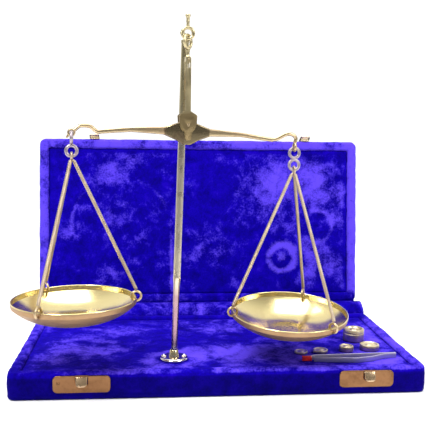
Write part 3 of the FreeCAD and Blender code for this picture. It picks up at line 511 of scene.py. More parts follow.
def floor_material():
    """White paper, lit from behind the object and falling away into shade in front of it."""
    look = Look("seamless_paper", Roughness=0.6)
    grain = look.noise(600, 4.0)
    near = look.node("ShaderNodeSeparateXYZ", {"Vector": look.place}).outputs["Y"]
    lit = look.stretch(near, -0.75, -0.20)
    paper = look.ramp(grain, ((0.3, rgb(0.90, 0.90, 0.91)), (0.7, rgb(0.94, 0.94, 0.94))))
    look.link(look.mix(lit, rgb(0.40, 0.40, 0.40), paper), "Base Color")
    look.link(look.bump(grain, 0.04, 0.1 * MM), "Normal")
    return look.material


PAN_BRASS = metal("pan_brass_polished", (0.78, 0.651, 0.312), (0.62, 0.462, 0.221), 0.17, 0.35, coat=0.35)
# painted shade: a darker copy of the pan's brass for the outside of the dish below its rim
PAN_UNDERSIDE_SHADED = metal("pan_brass_shaded_under", (0.37, 0.235, 0.125), (0.29, 0.175, 0.095), 0.46, 0.5)
BEAM_BRASS = metal("beam_brass_polished", (0.60, 0.47, 0.28), (0.36, 0.25, 0.15), 0.28, 0.7)
# painted shade: a darker copy of the beam's brass on the boss, standing in for its dim reflection
BOSS_BRASS_SHADED = metal("boss_brass_painted_shade", (0.24, 0.19, 0.11), (0.11, 0.075, 0.045), 0.24, 0.9)
LOOP_BRASS = metal("loop_brass_tarnished", (0.40, 0.34, 0.38), (0.28, 0.22, 0.26), 0.38, 0.7)
# painted shade: darkest on the stirrup's lower head round the pivot, paler above, by height
STIRRUP_BRASS_SHADED_BELOW = faded("stirrup_brass_shaded_below", 0.120, 0.160, (
    (0.0, rgb(0.22, 0.16, 0.08)), (0.25, rgb(0.32, 0.24, 0.12)), (0.40, rgb(0.29, 0.22, 0.11)),
    (0.45, rgb(0.50, 0.42, 0.24)), (0.8, rgb(0.46, 0.38, 0.21)), (1.0, rgb(0.54, 0.46, 0.27))), (0.26, 0.40))
PILLAR_BRASS = faded("pillar_brass_pale", 0.010, 0.150, (
    (0.0, rgb(0.58, 0.50, 0.32)), (0.05, rgb(0.58, 0.50, 0.32)), (0.065, rgb(0.20, 0.13, 0.17)),
    (0.12, rgb(0.36, 0.22, 0.27)), (0.26, rgb(0.40, 0.27, 0.28)), (0.295, rgb(0.62, 0.54, 0.42)),
    (0.80, rgb(0.48, 0.43, 0.36)), (0.95, rgb(0.42, 0.36, 0.21))), (0.22, 0.34))
FOOT_BRASS = metal("foot_brass_silvered", (0.66, 0.60, 0.58), (0.46, 0.40, 0.42), 0.18)
CHAIN_BRASS = metal("chain_brass_woven", (0.50, 0.40, 0.29), (0.30, 0.22, 0.18), 0.34, 0.6)
CATCH_BRASS = metal("catch_brass_brown", (0.25, 0.125, 0.058), (0.16, 0.075, 0.033), 0.30, 0.8)
BUTTON_BRASS = metal("button_brass_rubbed", (0.62, 0.44, 0.27), (0.34, 0.20, 0.11), 0.26, 0.8)
KEEPER_BRASS = metal("keeper_brass_pale", (0.92, 0.76, 0.48), (0.66, 0.50, 0.28), 0.34, 0.6)
WEIGHT_BRASS = metal("weight_brass_turned", (0.74, 0.62, 0.40), (0.42, 0.34, 0.20), 0.34, 0.8)
STEEL = metal("hinge_steel_plain", (0.56, 0.56, 0.57), (0.36, 0.35, 0.34), 0.38, 0.7)
TWEEZER_STEEL = metal("tweezer_steel_bright", (0.44, 0.40, 0.52), (0.30, 0.27, 0.38), 0.52, 0.6)
WOOD = wood("softwood")
RED = gloss_red("red_sleeve_gloss")

SLOT_LOOK = {
    "pan_brass": PAN_BRASS, "beam_brass": BEAM_BRASS, "stirrup_brass": STIRRUP_BRASS_SHADED_BELOW,
    "pillar_brass": PILLAR_BRASS, "chain_brass": CHAIN_BRASS, "catch_brass": CATCH_BRASS,
    "weight_brass": WEIGHT_BRASS, "hinge_steel": STEEL, "tweezer_steel": TWEEZER_STEEL,
    "wood": WOOD, "red_sleeve": RED,
}


def dress_cad_nodes():
    """Every CAD node that stays in view gets its slot's finish."""
    for part in frame["record"]["subparts"]:
        if part["material_slot"] in SLOT_LOOK:
            use_material(frame["nodes"][part["node"]].data, SLOT_LOOK[part["material_slot"]])


# ---- the velvet case

RIM_WIDTH = 6.0 * MM
LINING_BELOW = 1.5 * MM
CORNER = 4.0 * MM


def perimeter(width, depth, inset):
    """Points round a rounded rectangle, as many whatever the inset."""
    turn = max(CORNER - inset, 0.7 * MM)
    right, far = width / 2 - inset - turn, depth / 2 - inset - turn
    middles = ((right, far), (-right, far), (-right, -far), (right, -far))
    corners = [arc(middle, turn, 90 * n, 90 * n + 90, 10) for n, middle in enumerate(middles)]
    points = []
    for n, corner in enumerate(corners):
        points.extend(corner)
        start, following = corner[-1], corners[(n + 1) % 4][0]
        steps = 150 if n % 2 == 0 else 80
        for k in range(1, steps):
            share = k / steps
            points.append((start[0] + (following[0] - start[0]) * share,
                           start[1] + (following[1] - start[1]) * share))
    return points


def rim_profile():
    """From the underside, out and up the wall, over the rim and down inside: (inset, height)."""
    bulge, under, over = 0.35 * MM, 1.5 * MM, 2.0 * MM
    low, high = under - TRAY_THICK, -over
    wall = [(-bulge * math.sin(math.pi * n / 10), low + (high - low) * n / 10) for n in range(1, 10)]
    return ([(8.0 * MM, -TRAY_THICK)] + arc((under, low), under, 270, 180, 8) + wall
            + arc((over, -over), over, 180, 90, 8) + arc((RIM_WIDTH - over, -over), over, 90, 0, 8)
            + [(RIM_WIDTH + 0.1 * MM, -RIM_ABOVE_BOARD - 0.3 * MM)])


def velvet_cover(name, tray, body, node, seed, crown, hinge_at):
    """Velvet over a tray's outside and rim, with a painted highlight palest at the crown and painted shade on the
    walls; hinge_at is the hinge side's sign.
    """
    matrix, width, depth = tray
    profile = rim_profile()
    spots = [(x, y, height) for inset, height in profile for x, y in perimeter(width, depth, inset)]
    faces = shell_faces(len(profile), len(spots) // len(profile))
    piece = piece_from(name, spots, faces, VELVET)
    offset = Vector((seed, 0, 0))

    def puff(place):
        if place.z < -TRAY_THICK + 0.5 * MM:
            return 0.0
        slow = noise.noise(place * 55 + offset)
        quick = noise.noise(place * 210 + offset)
        fold = abs(noise.noise(place * 120 + offset * 2))
        return (0.28 * slow + 0.12 * quick - 0.22 * max(0.0, 0.25 - fold) * 4) * MM

    def painted_light_and_nap(place):
        """Painted light: the rim's top gets the palest painted highlight, its hinge side less, and the walls get
        painted shade, the darkest.
        """
        top = max(0.0, 1 + place.z / (3.2 * MM))
        hinge_side = max(0.0, min(1.0, (hinge_at * place.y - depth / 2 + 11 * MM) / (5 * MM)))
        return -0.28 + (0.28 + crown - 0.15 * hinge_side) * min(1.0, 1.6 * top)

    rumple(piece, puff)
    paint_nap_and_light(piece, [painted_light_and_nap(vertex.co) for vertex in piece.data.vertices])
    piece.data.transform(matrix)
    finish_piece(piece, body, (node,))


def velvet_lining(name, tray, body, node, seed, nap, quiet=False):
    """A padded lining inside the rim: a closed slab, its top gently uneven."""
    matrix, width, depth = tray
    half_x, half_y = width / 2 - RIM_WIDTH - 0.03 * MM, depth / 2 - RIM_WIDTH - 0.03 * MM
    columns, rows = 190, 94
    spots, faces, painted_light_and_nap = [], [], []
    offset = Vector((seed, 3.0, 0))
    for row in range(rows + 1):
        for column in range(columns + 1):
            x = -half_x + 2 * half_x * column / columns
            y = -half_y + 2 * half_y * row / rows
            edge = min(half_x - abs(x), half_y - abs(y))
            drop = 0.25 * MM * max(0.0, 1 - edge / (2.2 * MM)) ** 2
            place = Vector((x, y, 0))
            slow = noise.noise(place * 42 + offset)
            quick = noise.noise(place * 170 + offset)
            fold = max(0.0, 0.3 - abs(noise.noise(place * 75 + offset * 2))) / 0.3
            height = (0.22 * slow + 0.10 * quick - 0.16 * fold ** 2) * MM
            pale = nap(x / MM, y / MM)
            if quiet:
                height = min(0.0, height - 0.12 * MM)
            else:
                height -= 0.25 * MM * min(1.0, max(0.0, pale) / 0.15)
            spots.append((x, y, -LINING_BELOW + height - drop))
            # painted shade: the nap value drops within 3 mm of the rim, where the lining meets it
            painted_light_and_nap.append(pale - (0.06 if quiet else 0.16) * max(0.0, 1 - edge / (3.0 * MM)))
    top = len(spots)
    spots.extend((x, y, -RIM_ABOVE_BOARD) for x, y, _ in spots[:top])
    across = columns + 1
    for row in range(rows):
        for column in range(columns):
            a = row * across + column
            faces.append((a, a + 1, a + across + 1, a + across))
            faces.append((top + a, top + a + across, top + a + across + 1, top + a + 1))
    border = list(range(columns))
    border += [row * across + columns for row in range(rows)]
    border += [rows * across + column for column in range(columns, 0, -1)]
    border += [row * across for row in range(rows, 0, -1)]
    for n, first in enumerate(border):
        second = border[(n + 1) % len(border)]
        faces.append((first, top + first, top + second, second))
    piece = piece_from(name, spots, faces, VELVET_LINING)
    paint_nap_and_light(piece, painted_light_and_nap * 2)
    piece.data.transform(matrix)
    finish_piece(piece, body, (node,))


def ridge(distance, width):
    """1 on a line, falling smoothly to 0 a few widths away."""
    return math.exp(-(distance / width) ** 2)


def patch(x, y, middle, reach):
    """1 in the middle of an oval patch, falling smoothly to 0 past its reach."""
    return math.exp(-(((x - middle[0]) / reach[0]) ** 2 + ((y - middle[1]) / reach[1]) ** 2) ** 1.5)


def lid_nap(x, y):
    """Marks pressed into the lid's lining, in millimetres from its middle: a weight's, a pan's, a crease
    beside the pillar, and the paler right end."""
    weight = math.hypot(x - 53, y + 23.5)
    pale = 0.19 * (ridge(weight - 8.6, 2.4) + 0.7 * ridge(weight, 2.4))
    pale -= 0.09 * ridge(weight - 4.8, 1.4) + 0.06 * ridge(weight - 13.5, 2.0)
    other = math.hypot(x - 76, y + 3)
    pale += 0.12 * ridge(other - 10.5, 1.7) * max(0.0, min(1.0, (x - 68) / 8))
    pan = math.hypot(x + 51.5, y + 2)
    pale += 0.09 * ridge(pan - 31, 1.2) * max(0.0, math.cos(3 * math.atan2(y + 2, x + 51.5) - 2.2)) ** 0.5
    pale += 0.13 * ridge(x + 19.5 + 0.02 * y, 1.0) * max(0.0, min(1.0, (12 - y) / 30))
    pale += 0.10 * patch(x, y, (-17, -36), (4, 14))
    pale += 0.10 * patch(x, y, (78, 25), (17, 15)) + 0.10 * patch(x, y, (80, -25), (12, 14))
    pale += 0.07 * patch(x, y, (46, 20), (12, 22)) + 0.05 * patch(x, y, (-60, 30), (30, 12))
    pale += 0.03 * max(0.0, min(1.0, (x - 40) / 30))
    return pale


def base_nap(x, y):
    """The base's lining, in millimetres from its middle: paler round the pillar's foot and at the left."""
    foot = math.hypot(x + 22.5, y + 30.5)
    pale = 0.14 * ridge(foot - 12, 5) + 0.15 * patch(x, y, (6, -20), (28, 13))
    pale += 0.08 * patch(x, y, (-62, -12), (20, 9)) + 0.09 * patch(x, y, (-84, -30), (12, 14))
    pale += 0.09 * patch(x, y, (86, -36), (16, 12)) + 0.09 * patch(x, y, (88, 8), (9, 26))
    pale -= 0.14 * ridge(foot, 8)
    return pale + 0.02


def make_hinge_roll():
    """The stuffed roll on the base's back wall, smoothed and made gently uneven."""
    piece = copied("hinge_roll", "hinge_roll_velvet", VELVET)
    applied(piece, ("REMESH", {"mode": "VOXEL", "voxel_size": 0.6 * MM}),
            ("SMOOTH", {"factor": 0.5, "iterations": 2}))
    use_material(piece.data, VELVET)
    piece.data.shade_smooth()
    paint_nap_and_light(piece, [0.05] * len(piece.data.vertices))
    offset = Vector((9.0, 1.0, 0))
    rumple(piece, lambda place: (0.25 * noise.noise(place * 60 + offset)
                                 + 0.12 * noise.noise(place * 190 + offset)) * MM)
    finish_piece(piece, "case", ("hinge_roll",))


def make_lid_hem():
    """A velvet hem under the open lid, filling the wedge over the roll and round the hinge axis."""
    clear, deep, sunk = 0.3 * MM, 7 * MM, 1.2 * MM
    axis = Vector(JOINTS["lid_hinge"]["pos_m"])
    spots = [Vector(spot) - axis for spot in spots_of("lid_cover")]
    corner = min(spots, key=lambda spot: math.hypot(spot.y, spot.z))
    front = math.degrees(math.atan2(corner.z, corner.y))
    backward = -lid_facing()
    inside = corner + Vector((0, -backward.z, backward.y)) * sunk
    tops = [inside + backward * deep, inside + backward * 0.4 * MM]
    low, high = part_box("hinge_roll")
    hollow = arc((0, 0), (high.z - low.z) / 2 + clear, front - 30, front + 1, 12)[::-1]
    outline = hollow + [(top.y, top.z) for top in tops]
    low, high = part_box("lid_cover")
    facing = frame_matrix(Vector(((low.x + high.x) / 2, axis.y, axis.z)), Vector((0, 1, 0)), UP, RIGHT)
    hem = plate("lid_hem", [outline[::-1]], high.x - low.x - 2.4 * MM, 0.15 * MM, facing, VELVET)
    finish_piece(hem, "lid", ("lid_cover",))


def make_case():
    base = tray_frame("base_board", UP)
    velvet_cover("base_velvet", base, "case", "base_cover", 1.0, 0.09, 1)
    velvet_lining("base_lining", base, "case", "base_bed", 5.0, base_nap, quiet=True)
    make_hinge_roll()
    lid = tray_frame("lid_board", lid_facing())
    velvet_cover("lid_velvet", lid, "lid", "lid_cover", 21.0, 0.17, -1)
    velvet_lining("lid_lining", lid, "lid", "lid_pad", 31.0, lid_nap)
    make_lid_hem()


def lid_facing():
    """The open lid's rim faces along the shortest way through its board."""
    spots = spots_of("lid_board")
    around = spots - spots.mean(0)
    normal = Vector(np.linalg.svd(around, full_matrices=False)[2][2])
    normal.x = 0
    normal.normalize()
    return normal if normal.y < 0 else -normal


VELVET = velvet("velvet_crushed")
VELVET_LINING = velvet("velvet_lining_crushed")


# ---- catches, keepers and hinge leaves

def rounded_box(low, high, below, above):
    """An anticlockwise rectangle whose lower and upper corners have these radii."""
    steps = 6
    (x0, y0), (x1, y1) = low, high
    return (arc((x0 + below, y0 + below), below, 180, 270, steps)
            + arc((x1 - below, y0 + below), below, 270, 360, steps)
            + arc((x1 - above, y1 - above), above, 0, 90, steps)
            + arc((x0 + above, y1 - above), above, 90, 180, steps))


def make_catch_plate(side):
    """A stamped plate with rounded corners, and the slot its button moves in."""
    low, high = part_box(f"catch_plate_{side}")
    button_low, button_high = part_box(f"catch_button_{side}")
    gap = 0.2 * MM
    rim = rounded_box((low.x, low.z), (high.x, high.z), 2.2 * MM, 2.2 * MM)
    slot = rounded_box((button_low.x - gap, button_low.z - gap), (button_high.x + gap, button_high.z + gap),
                       2.1 * MM, 0.2 * MM)
    facing = frame_matrix(Vector((0, (low.y + high.y) / 2, 0)), RIGHT, UP, Vector((0, -1, 0)))
    stamped = plate(f"catch_plate_{side}_stamped", [rim, slot[::-1]], high.y - low.y, 0.36 * MM, facing,
                    CATCH_BRASS)
    finish_piece(stamped, "case", (f"catch_plate_{side}",))


def make_fittings():
    for side in ("left", "right"):
        make_catch_plate(side)
        bevelled_copy(f"catch_button_{side}", f"catch_button_{side}", BUTTON_BRASS, 0.45 * MM)
        bevelled_copy(f"keeper_{side}", "lid", KEEPER_BRASS, 0.6 * MM)
        bevelled_copy(f"lid_hinge_leaf_{side}", "lid", STEEL, 0.2 * MM)


# ---- pillar

def frame_along(start, end):
    """A frame at start, its Z towards end."""
    z_axis = (end - start).normalized()
    x_axis = (RIGHT - z_axis * z_axis.x).normalized()
    return frame_matrix(start, x_axis, z_axis.cross(x_axis), z_axis)


def upright_at(x, y, z):
    return Matrix.Translation((x, y, z))


def rounded(radius, tall, ease):
    """The outline of a turned disc whose rims are eased: from its axis, round, and back to it."""
    return ([(0, 0)] + arc((radius - ease, ease), ease, 270, 360, 5)
            + arc((radius - ease, tall - ease), ease, 0, 90, 5) + [(0, tall)])


def make_pillar():
    start, end = ends_of("pillar_rod")
    length = (end - start).length / MM
    lower, upper, step = 1.65, 1.85, 37.2
    profile = [(0, 0), (lower - 0.2, 0), (lower, 0.2), (lower, step), (lower + 0.15, step + 1),
               (upper + 0.05, step + 2.2), (upper + 0.15, step + 3), (upper + 0.1, step + 3.6),
               (upper, step + 4.2), (upper, length), (0, length)]
    rod = turned("pillar_rod_polished", in_mm(profile), frame_along(start, end), PILLAR_BRASS, 64, 40)
    finish_piece(rod, "pillar", ("pillar_rod",))

    ring_radius, ring_wire, ring_below_top = 2.6 * MM, 0.85 * MM, 8.8 * MM
    swing = Vector(JOINTS["stirrup_swing"]["pos_m"])
    middle = Vector((swing.x, swing.y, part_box("pillar_hook")[1].z - ring_below_top))
    left = middle - Vector((ring_radius, 0, 0))
    along = (end - start).normalized()
    shoulder = end + along * ((left.z - end.z) / along.z)
    route = smooth_route((end - along * 0.4 * MM, end + along * 0.8 * MM, shoulder, (shoulder + left) / 2,
                          left - RIGHT * 0.4 * MM, left))
    collar = rounded(2.05 * MM, 1.4 * MM, 0.3 * MM)
    finial = in_mm([(0, 0), (0.95, 0), (0.8, 1.0), (0.72, 2.2), (0.95, 3.0), (0.78, 3.5), (0.86, 4.6),
                    (1.25, 5.3), (1.3, 5.8), (1.1, 6.2), (0.7, 6.05), (0, 6.0)])
    facing = frame_matrix(middle, RIGHT, UP, RIGHT.cross(UP))
    tip = upright_at(middle.x, middle.y, middle.z + ring_radius)
    for part in (torus("hook_ring", facing, ring_radius, ring_wire, STIRRUP_BRASS_SHADED_BELOW),
                 tube("hook_arm", route, 0.95 * MM, PILLAR_BRASS),
                 turned("hook_collar", collar, frame_along(end, end + along), PILLAR_BRASS, 48),
                 turned("hook_finial", finial, tip, STIRRUP_BRASS_SHADED_BELOW, 48)):
        finish_piece(part, "pillar", ("pillar_hook",))


def make_foot():
    low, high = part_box("foot_plate")
    x, y = (low.x + high.x) / 2, (low.y + high.y) / 2
    radius, tall = (high.x - low.x) / 2, high.z - low.z
    disc = [(0, 0), (radius - 0.2 * MM, 0), (radius, 0.3 * MM), (radius, tall * 0.45),
            (radius - 0.35 * MM, tall * 0.8), (radius - 1.0 * MM, tall * 0.97), (radius * 0.6, tall),
            (0, tall)]
    dome = turned("foot_plate_domed", disc, upright_at(x, y, low.z), FOOT_BRASS, 96)
    finish_piece(dome, "case", ("foot_plate",))

    low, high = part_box("foot_socket")
    rise = (high.z - low.z) / MM
    bore, foot, mouth, ease = 1.69, 2.6, 2.15, 0.2
    wall = in_mm([(bore, 0), (foot, 0), (foot, 0.6), (foot - 0.12, 1.0), (mouth, rise - ease),
                  (mouth - ease, rise), (bore, rise), (bore, 0)])
    socket = turned("foot_socket_turned", wall, upright_at(x, y, low.z), PILLAR_BRASS, 64, 40)
    finish_piece(socket, "case", ("foot_socket",))

    low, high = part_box("foot_screws")
    apart, head_tall = 5.2 * MM, 0.9 * MM
    head = in_mm([(0, 0), (1.4, 0), (1.4, 0.15), (1.2, 0.5), (0.75, 0.8), (0.3, 0.9), (0.25, 0.55), (0, 0.5)])
    for number, side in enumerate((-1, 1), start=1):
        at = upright_at(x + side * apart, y, high.z - head_tall)
        screw = turned(f"foot_screw_{number}", head, at, FOOT_BRASS, 40)
        finish_piece(screw, "case", ("foot_screws",))


# ---- stirrup and beam

def balance_frame(tilt):
    """About the beam's pivot: X along the beam, Y away from the viewer, Z up, the right end down by tilt."""
    pivot = Vector(JOINTS["beam_tilt"]["pos_m"])
    y_axis = Vector(JOINTS["beam_tilt"]["axis"]).normalized()
    level = y_axis.cross(UP)
    x_axis = level * math.cos(tilt) - UP * math.sin(tilt)
    return frame_matrix(pivot, x_axis, y_axis, x_axis.cross(y_axis))


def drawn_upright(frame_of):
    """For plates drawn in a frame's X and Z: their thickness lies along its Y."""
    x_axis, y_axis, z_axis, origin = (frame_of.col[n].to_3d() for n in range(4))
    return frame_matrix(origin, x_axis, z_axis, -y_axis)


def both_sides(half):
    """A closed outline from its right half, top to bottom, in millimetres."""
    right = in_mm(half)
    return right + [(-x, z) for x, z in reversed(right)]


def in_the_plane(points):
    """Millimetres along a frame's X and Z, as points of a smooth route's corners."""
    return [(x, 0, z) for x, z in in_mm(points)]


def tapered(route, first, last):
    """A radius at each point of a route, from millimetres at its two ends."""
    return [(first + (last - first) * n / (len(route) - 1)) * MM for n in range(len(route))]


def make_stirrup():
    about = balance_frame(0.0)
    for node in ("stirrup_front_plate", "stirrup_back_plate"):
        bevelled_copy(node, "stirrup", STIRRUP_BRASS_SHADED_BELOW, 0.16 * MM)
    bevelled_copy("stirrup_rivet", "stirrup", BEAM_BRASS, 0.12 * MM)
    # the eye is turned so that it clears the ring it is linked in
    eye_radius, eye_wire, eye_below_top, eye_turn = 3.1 * MM, 0.75 * MM, 3.85 * MM, math.radians(50)
    origin = about.translation
    eye_middle = Vector((origin.x, origin.y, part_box("stirrup_top")[1].z - eye_below_top))
    across = (Matrix.Rotation(eye_turn, 3, "Z") @ about.col[1].to_3d()).cross(UP)
    neck = in_mm([(0, 0), (1.05, 0), (1.2, -0.5), (1.05, -1.2), (0.85, -2.4), (0.85, -3.6), (1.15, -4.0),
                  (1.15, -4.9), (0, -4.9)])
    hung = upright_at(origin.x, origin.y, eye_middle.z - eye_radius)
    block = both_sides(((1.25, 32.2), (1.25, 29.9)))
    facing = frame_matrix(eye_middle, across, UP, across.cross(UP))
    for part in (torus("stirrup_eye", facing, eye_radius, eye_wire, STIRRUP_BRASS_SHADED_BELOW),
                 turned("stirrup_shank", neck, hung, STIRRUP_BRASS_SHADED_BELOW, 48, 50),
                 plate("stirrup_block", [block], 4.0 * MM, 0.2 * MM, drawn_upright(about), STIRRUP_BRASS_SHADED_BELOW)):
        finish_piece(part, "stirrup", ("stirrup_top",))


def make_beam():
    about = balance_frame(math.radians(2.0))
    drawn = drawn_upright(about)
    arms = both_sides(((2, 2.1), (4.6, 0.9), (11.4, -1.4), (27, -2.4), (43, -4.2), (43, -6.3), (27, -4.6),
                       (11.4, -5.1), (5.4, -7.4), (1.6, -9.6)))
    boss = both_sides(((2, 2.1), (4.6, 0.9), (11, -1.6), (11, -4.9), (5.4, -7.4), (1.6, -9.6)))
    parts = [plate("beam_arms", [arms], 2.2 * MM, 0.65 * MM, drawn, BEAM_BRASS),
             plate("beam_boss", [boss], 3.2 * MM, 0.55 * MM, drawn, BOSS_BRASS_SHADED)]
    left_neck = ((-41.0, -5.25), (-43.2, -5.2), (-45.2, -3.3), (-46.4, -2.6), (-50.6, -2.6), (-51.8, -3.6),
                 (-53.5, -5.3))
    right_neck = ((41.0, -5.25), (44.8, -5.3), (48.6, -2.7), (50.6, -1.9), (53.2, -1.9), (55.3, -3.6),
                  (54.9, -5.2), (54.6, -6.4))
    for word, neck, thin in (("left", left_neck, 0.85), ("right", right_neck, 0.9)):
        route = smooth_route(in_the_plane(neck))
        parts.append(tube(f"beam_neck_{word}", route, tapered(route, 1.0, thin), BEAM_BRASS, about))
    for word, x, z, turn, radius, wire in (("left", -54.6, -6.2, "X", 1.45, 0.5),
                                           ("right", 54.6, -8.3, "Y", 1.95, 0.6)):
        at = about @ Matrix.Translation((x * MM, 0, z * MM)) @ Matrix.Rotation(math.pi / 2, 4, turn)
        parts.append(torus(f"beam_eye_{word}", at, radius * MM, wire * MM, BEAM_BRASS))
    tail = smooth_route(in_the_plane(((-55.7, -7.1), (-56.2, -7.8), (-56.9, -8.7))), 4)
    parts.append(tube("beam_tail", tail, tapered(tail, 0.75, 0.3), BEAM_BRASS, about))
    for part in parts:
        finish_piece(part, "beam", ("beam",))
    bevelled_copy("pointer", "beam", BEAM_BRASS, 0.12 * MM)
    bevelled_copy("knife_pin", "beam", BEAM_BRASS, 0.15 * MM)


def make_swing_hooks():
    level = balance_frame(0.0)
    x_axis, y_axis = level.col[0].to_3d(), level.col[1].to_3d()
    front = (x_axis, UP, -y_axis)
    side_on = (y_axis, UP, x_axis)
    for word, upper_facing in (("left", side_on), ("right", front)):
        hung = Vector(JOINTS[f"hook_swing_{word}"]["pos_m"])
        for level_name, below, facing in (("upper", 2.5, upper_facing), ("lower", 8.5, front)):
            placed = frame_matrix(hung - UP * below * MM, *facing)
            loop = torus(f"hook_{word}_{level_name}", placed, 2.5 * MM, 0.8 * MM, LOOP_BRASS, 72, 28)
            finish_piece(loop, f"s_hook_{word}", (f"s_hook_{word}",))


# ---- weights and tweezers

def make_weights():
    for word in ("large", "medium", "small", "thin", "least"):
        node = f"weight_{word}"
        low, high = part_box(node)
        r, t = (high.x - low.x) / 2, high.z - low.z
        ease = min(0.5 * MM, t * 0.16)
        profile = [(0, 0), (r - ease, 0), (r - 0.2 * ease, ease * 0.4), (r, ease)]
        if t > 2 * MM:
            profile += [(r, t * 0.62), (r - 0.3 * MM, t * 0.66), (r - 0.3 * MM, t * 0.72), (r, t * 0.76)]
        profile += [(r, t - ease), (r - 0.3 * ease, t - 0.3 * ease), (r - ease, t), (r * 0.80, t),
                    (r * 0.76, t * 0.9), (r * 0.72, t * 0.86), (r * 0.44, t * 0.84), (r * 0.38, t * 0.88),
                    (r * 0.34, t * 0.97), (r * 0.1, t * 0.985), (0, t * 0.985)]
        middle = (low + high) / 2
        at = upright_at(middle.x, middle.y, low.z)
        weight = turned(f"{node}_turned", profile, at, WEIGHT_BRASS, 72, 40)
        finish_piece(weight, node, (node,))


def make_tweezers():
    for word, body in (("rear", "tweezers"), ("front", "tweezers_front")):
        bevelled_copy(f"tweezer_{word}_blade", body, TWEEZER_STEEL, 0.15 * MM)
    bevelled_copy("tweezer_tip", "tweezers", RED, 0.3 * MM)


# ---- pans and chains

PAN_RADIUS = 30.0 * MM
PAN_WALL = 2.6 * MM
PAN_DEPTH = 11.0 * MM
PAN_FLOOR = 8.0 * MM
PAN_THICK = 0.7 * MM


def pan_frame(side):
    """A frame in the middle of the rim, its Z the pan's own up, and the middles of the rim's three rings."""
    rings = loose_parts(f"rim_hooks_{side}")
    normal = (rings[1] - rings[0]).cross(rings[2] - rings[0]).normalized()
    if normal.z < 0:
        normal = -normal
    middle = sum(rings, Vector()) / 3
    x_axis = (RIGHT - normal * normal.x).normalized()
    return frame_matrix(middle, x_axis, normal.cross(x_axis), normal), rings


def curve_between(first, last, radius, steps, outward=1):
    """An arc from first to last that bulges to the right of the way (outward 1) or to the left (-1)."""
    a, b = Vector(first), Vector(last)
    chord = b - a
    middle = (a + b) / 2
    right = Vector((chord.y, -chord.x)).normalized() * outward
    centre = middle - right * math.sqrt(radius ** 2 - (chord.length / 2) ** 2)
    start = math.degrees(math.atan2(a.y - centre.y, a.x - centre.x))
    stop = math.degrees(math.atan2(b.y - centre.y, b.x - centre.x))
    short_way = (stop - start + 180) % 360 - 180
    return arc(centre, radius, start, start + short_way, steps)


def make_pan(side):
    matrix, rings = pan_frame(side)
    outer_side = curve_between((PAN_FLOOR, -PAN_DEPTH), (PAN_RADIUS - 0.3 * MM, -PAN_WALL), 31 * MM, 26)
    inner_side = curve_between((PAN_RADIUS - 0.3 * MM - PAN_THICK, -PAN_WALL),
                               (PAN_FLOOR, PAN_THICK - PAN_DEPTH), 30.3 * MM, 26, -1)
    lip = 0.5 * PAN_THICK
    rolled = arc((PAN_RADIUS - lip, -lip), lip, 0, 180, 10)
    profile = [(0, -PAN_DEPTH), (PAN_FLOOR * 0.5, -PAN_DEPTH)] + outer_side
    profile += [(PAN_RADIUS - 0.1 * MM, -PAN_WALL * 0.55)] + rolled
    profile += [(PAN_RADIUS - 0.1 * MM - PAN_THICK, -PAN_WALL * 0.55)] + inner_side
    profile += [(PAN_FLOOR * 0.5, PAN_THICK - PAN_DEPTH), (0, PAN_THICK - PAN_DEPTH)]
    dish = turned(f"pan_{side}_spun", profile, matrix, PAN_BRASS, 192, 30)
    dish.data.materials.append(PAN_UNDERSIDE_SHADED)
    up = matrix.col[2].to_3d()
    # painted shade: outward faces below the rim take the darker copy of the brass
    for face in dish.data.polygons:
        below = (face.center - matrix.translation).dot(up) < -0.8 * MM
        outward = face.normal.dot(face.center - matrix.translation) > 0
        face.material_index = 1 if below and outward else 0
    body = f"pan_{side}"
    finish_piece(dish, body, (f"pan_{side}",))

    for number, middle in enumerate(rings, start=1):
        outward = (middle - matrix.translation).normalized()
        placed = frame_matrix(middle, outward, up, outward.cross(up))
        wire = torus(f"rim_ring_{side}_{number}", placed, 2.35 * MM, 0.6 * MM, BEAM_BRASS)
        finish_piece(wire, body, (f"rim_hooks_{side}",))

    low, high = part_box(f"chain_ring_{side}")
    across = Vector(JOINTS[f"pan_swing_{side}"]["axis"]).cross(UP)
    placed = frame_matrix((low + high) / 2, across, UP, across.cross(UP))
    gather = torus(f"gather_loop_{side}", placed, 1.5 * MM, 0.6 * MM, CHAIN_BRASS)
    finish_piece(gather, body, (f"chain_ring_{side}",))
    for number in (1, 2, 3):
        make_chain(side, number)


def make_chain(side, number):
    """A chain woven as a round rope of fine wires, held by a short link to the loop over the pan."""
    node = f"chain_{side}_{number}"
    start, end = ends_of(node)
    length = (end - start).length
    strands, pitch, steps = 4, 4.4 * MM, 18
    radius, wire = 0.46 * MM, 0.44 * MM
    spots, faces, sides = [], [], 6
    rows = int(length / pitch * steps)
    for strand in range(strands):
        phase = 2 * math.pi * strand / strands
        base = len(spots)
        for row in range(rows + 1):
            height = length * row / rows
            angle = phase + 2 * math.pi * height / pitch
            out = Vector((math.cos(angle), math.sin(angle), 0))
            slope = (UP.cross(out) * radius * 2 * math.pi / pitch + UP).normalized()
            other = slope.cross(out)
            for k in range(sides):
                around = 2 * math.pi * k / sides
                spots.append(out * (radius + math.cos(around) * wire) + UP * height
                             + other * math.sin(around) * wire)
        faces += shell_faces(rows + 1, sides, base)
    rope = piece_from(f"{node}_woven", spots, faces, CHAIN_BRASS, frame_along(start, end))
    finish_piece(rope, f"pan_{side}", (node,))
    low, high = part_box(f"chain_ring_{side}")
    held = Vector(((low.x + high.x) / 2, (low.y + high.y) / 2, low.z + 0.6 * MM))
    inside = end + (start - end).normalized() * 1.2 * MM
    route = smooth_route((held, (held + end) / 2, end, inside), 4)
    link = tube(f"{node}_link", route, 0.62 * MM, CHAIN_BRASS)
    finish_piece(link, f"pan_{side}", (node,))


# ---- stage, lights and camera

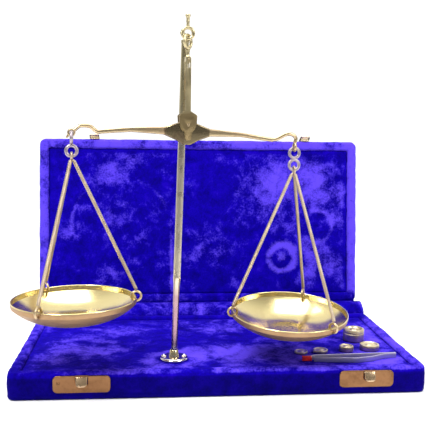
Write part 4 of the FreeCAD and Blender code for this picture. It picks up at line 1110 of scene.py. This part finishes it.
def make_stage():
    wide, near, far = 1.6, -2.0, 0.42
    floor = piece_from("floor", [(-wide, near, 0), (wide, near, 0), (wide, far, 0), (-wide, far, 0)],
                       [(0, 1, 2, 3)], floor_material(), smooth=False)
    floor.location.z = -0.2 * MM

    world = bpy.data.worlds.new("studio")
    world.use_nodes = True
    tree = world.node_tree
    background = tree.nodes["Background"]
    place = tree.nodes.new("ShaderNodeTexCoord")
    split = tree.nodes.new("ShaderNodeSeparateXYZ")
    tree.links.new(place.outputs["Generated"], split.inputs["Vector"])
    fade = tree.nodes.new("ShaderNodeMapRange")
    fade.interpolation_type = "SMOOTHSTEP"
    for name, value in (("From Min", -0.40), ("From Max", 0.60), ("To Min", 0.26), ("To Max", 1.12)):
        fade.inputs[name].default_value = value
    tree.links.new(split.outputs["Y"], fade.inputs["Value"])
    tree.links.new(fade.outputs["Result"], background.inputs["Strength"])
    background.inputs["Color"].default_value = (1.0, 1.0, 1.0, 1.0)
    bpy.context.scene.world = world

    for name, place, size_of, power, target in (
        ("key", (-0.45, -0.50, 0.80), 0.30, 9.0, (0, 0, 0.06)),
        ("fill", (0.55, -0.45, 0.55), 0.35, 4.0, (0, 0, 0.06)),
        ("top", (0.0, 0.10, 0.95), 0.60, 7.0, (0, 0, 0.05)),
    ):
        light = bpy.data.lights.new(name, "AREA")
        light.energy = power
        light.size = size_of
        lamp = linked(name, light)
        lamp.location = place
        lamp.rotation_euler = (Vector(target) - Vector(place)).to_track_quat("-Z", "Y").to_euler()


def make_camera():
    """At the height of the beam, a little left of the middle, turned right and down."""
    yaw, pitch, roll = math.radians(5.41), math.radians(6.86), math.radians(-0.75)
    ahead = Vector((math.sin(yaw) * math.cos(pitch), math.cos(yaw) * math.cos(pitch), -math.sin(pitch)))
    level = Vector((math.cos(yaw), -math.sin(yaw), 0))
    below = ahead.cross(level)
    right = level * math.cos(roll) + below * math.sin(roll)
    down = below * math.cos(roll) - level * math.sin(roll)
    view = bpy.data.cameras.new("camera")
    view.sensor_width = 36.0
    view.lens = 59.97
    view.clip_start = 0.01
    camera = linked("camera", view)
    camera.matrix_world = frame_matrix(Vector((-35.5, -388.0, 128.6)) * MM, right, -down, -ahead)
    bpy.context.scene.camera = camera
    bpy.context.scene.view_settings.view_transform = "Standard"


dress_cad_nodes()
make_case()
make_fittings()
make_pillar()
make_foot()
make_stirrup()
make_beam()
make_swing_hooks()
make_weights()
make_tweezers()
for pan_side in ("left", "right"):
    make_pan(pan_side)
make_stage()
make_camera()
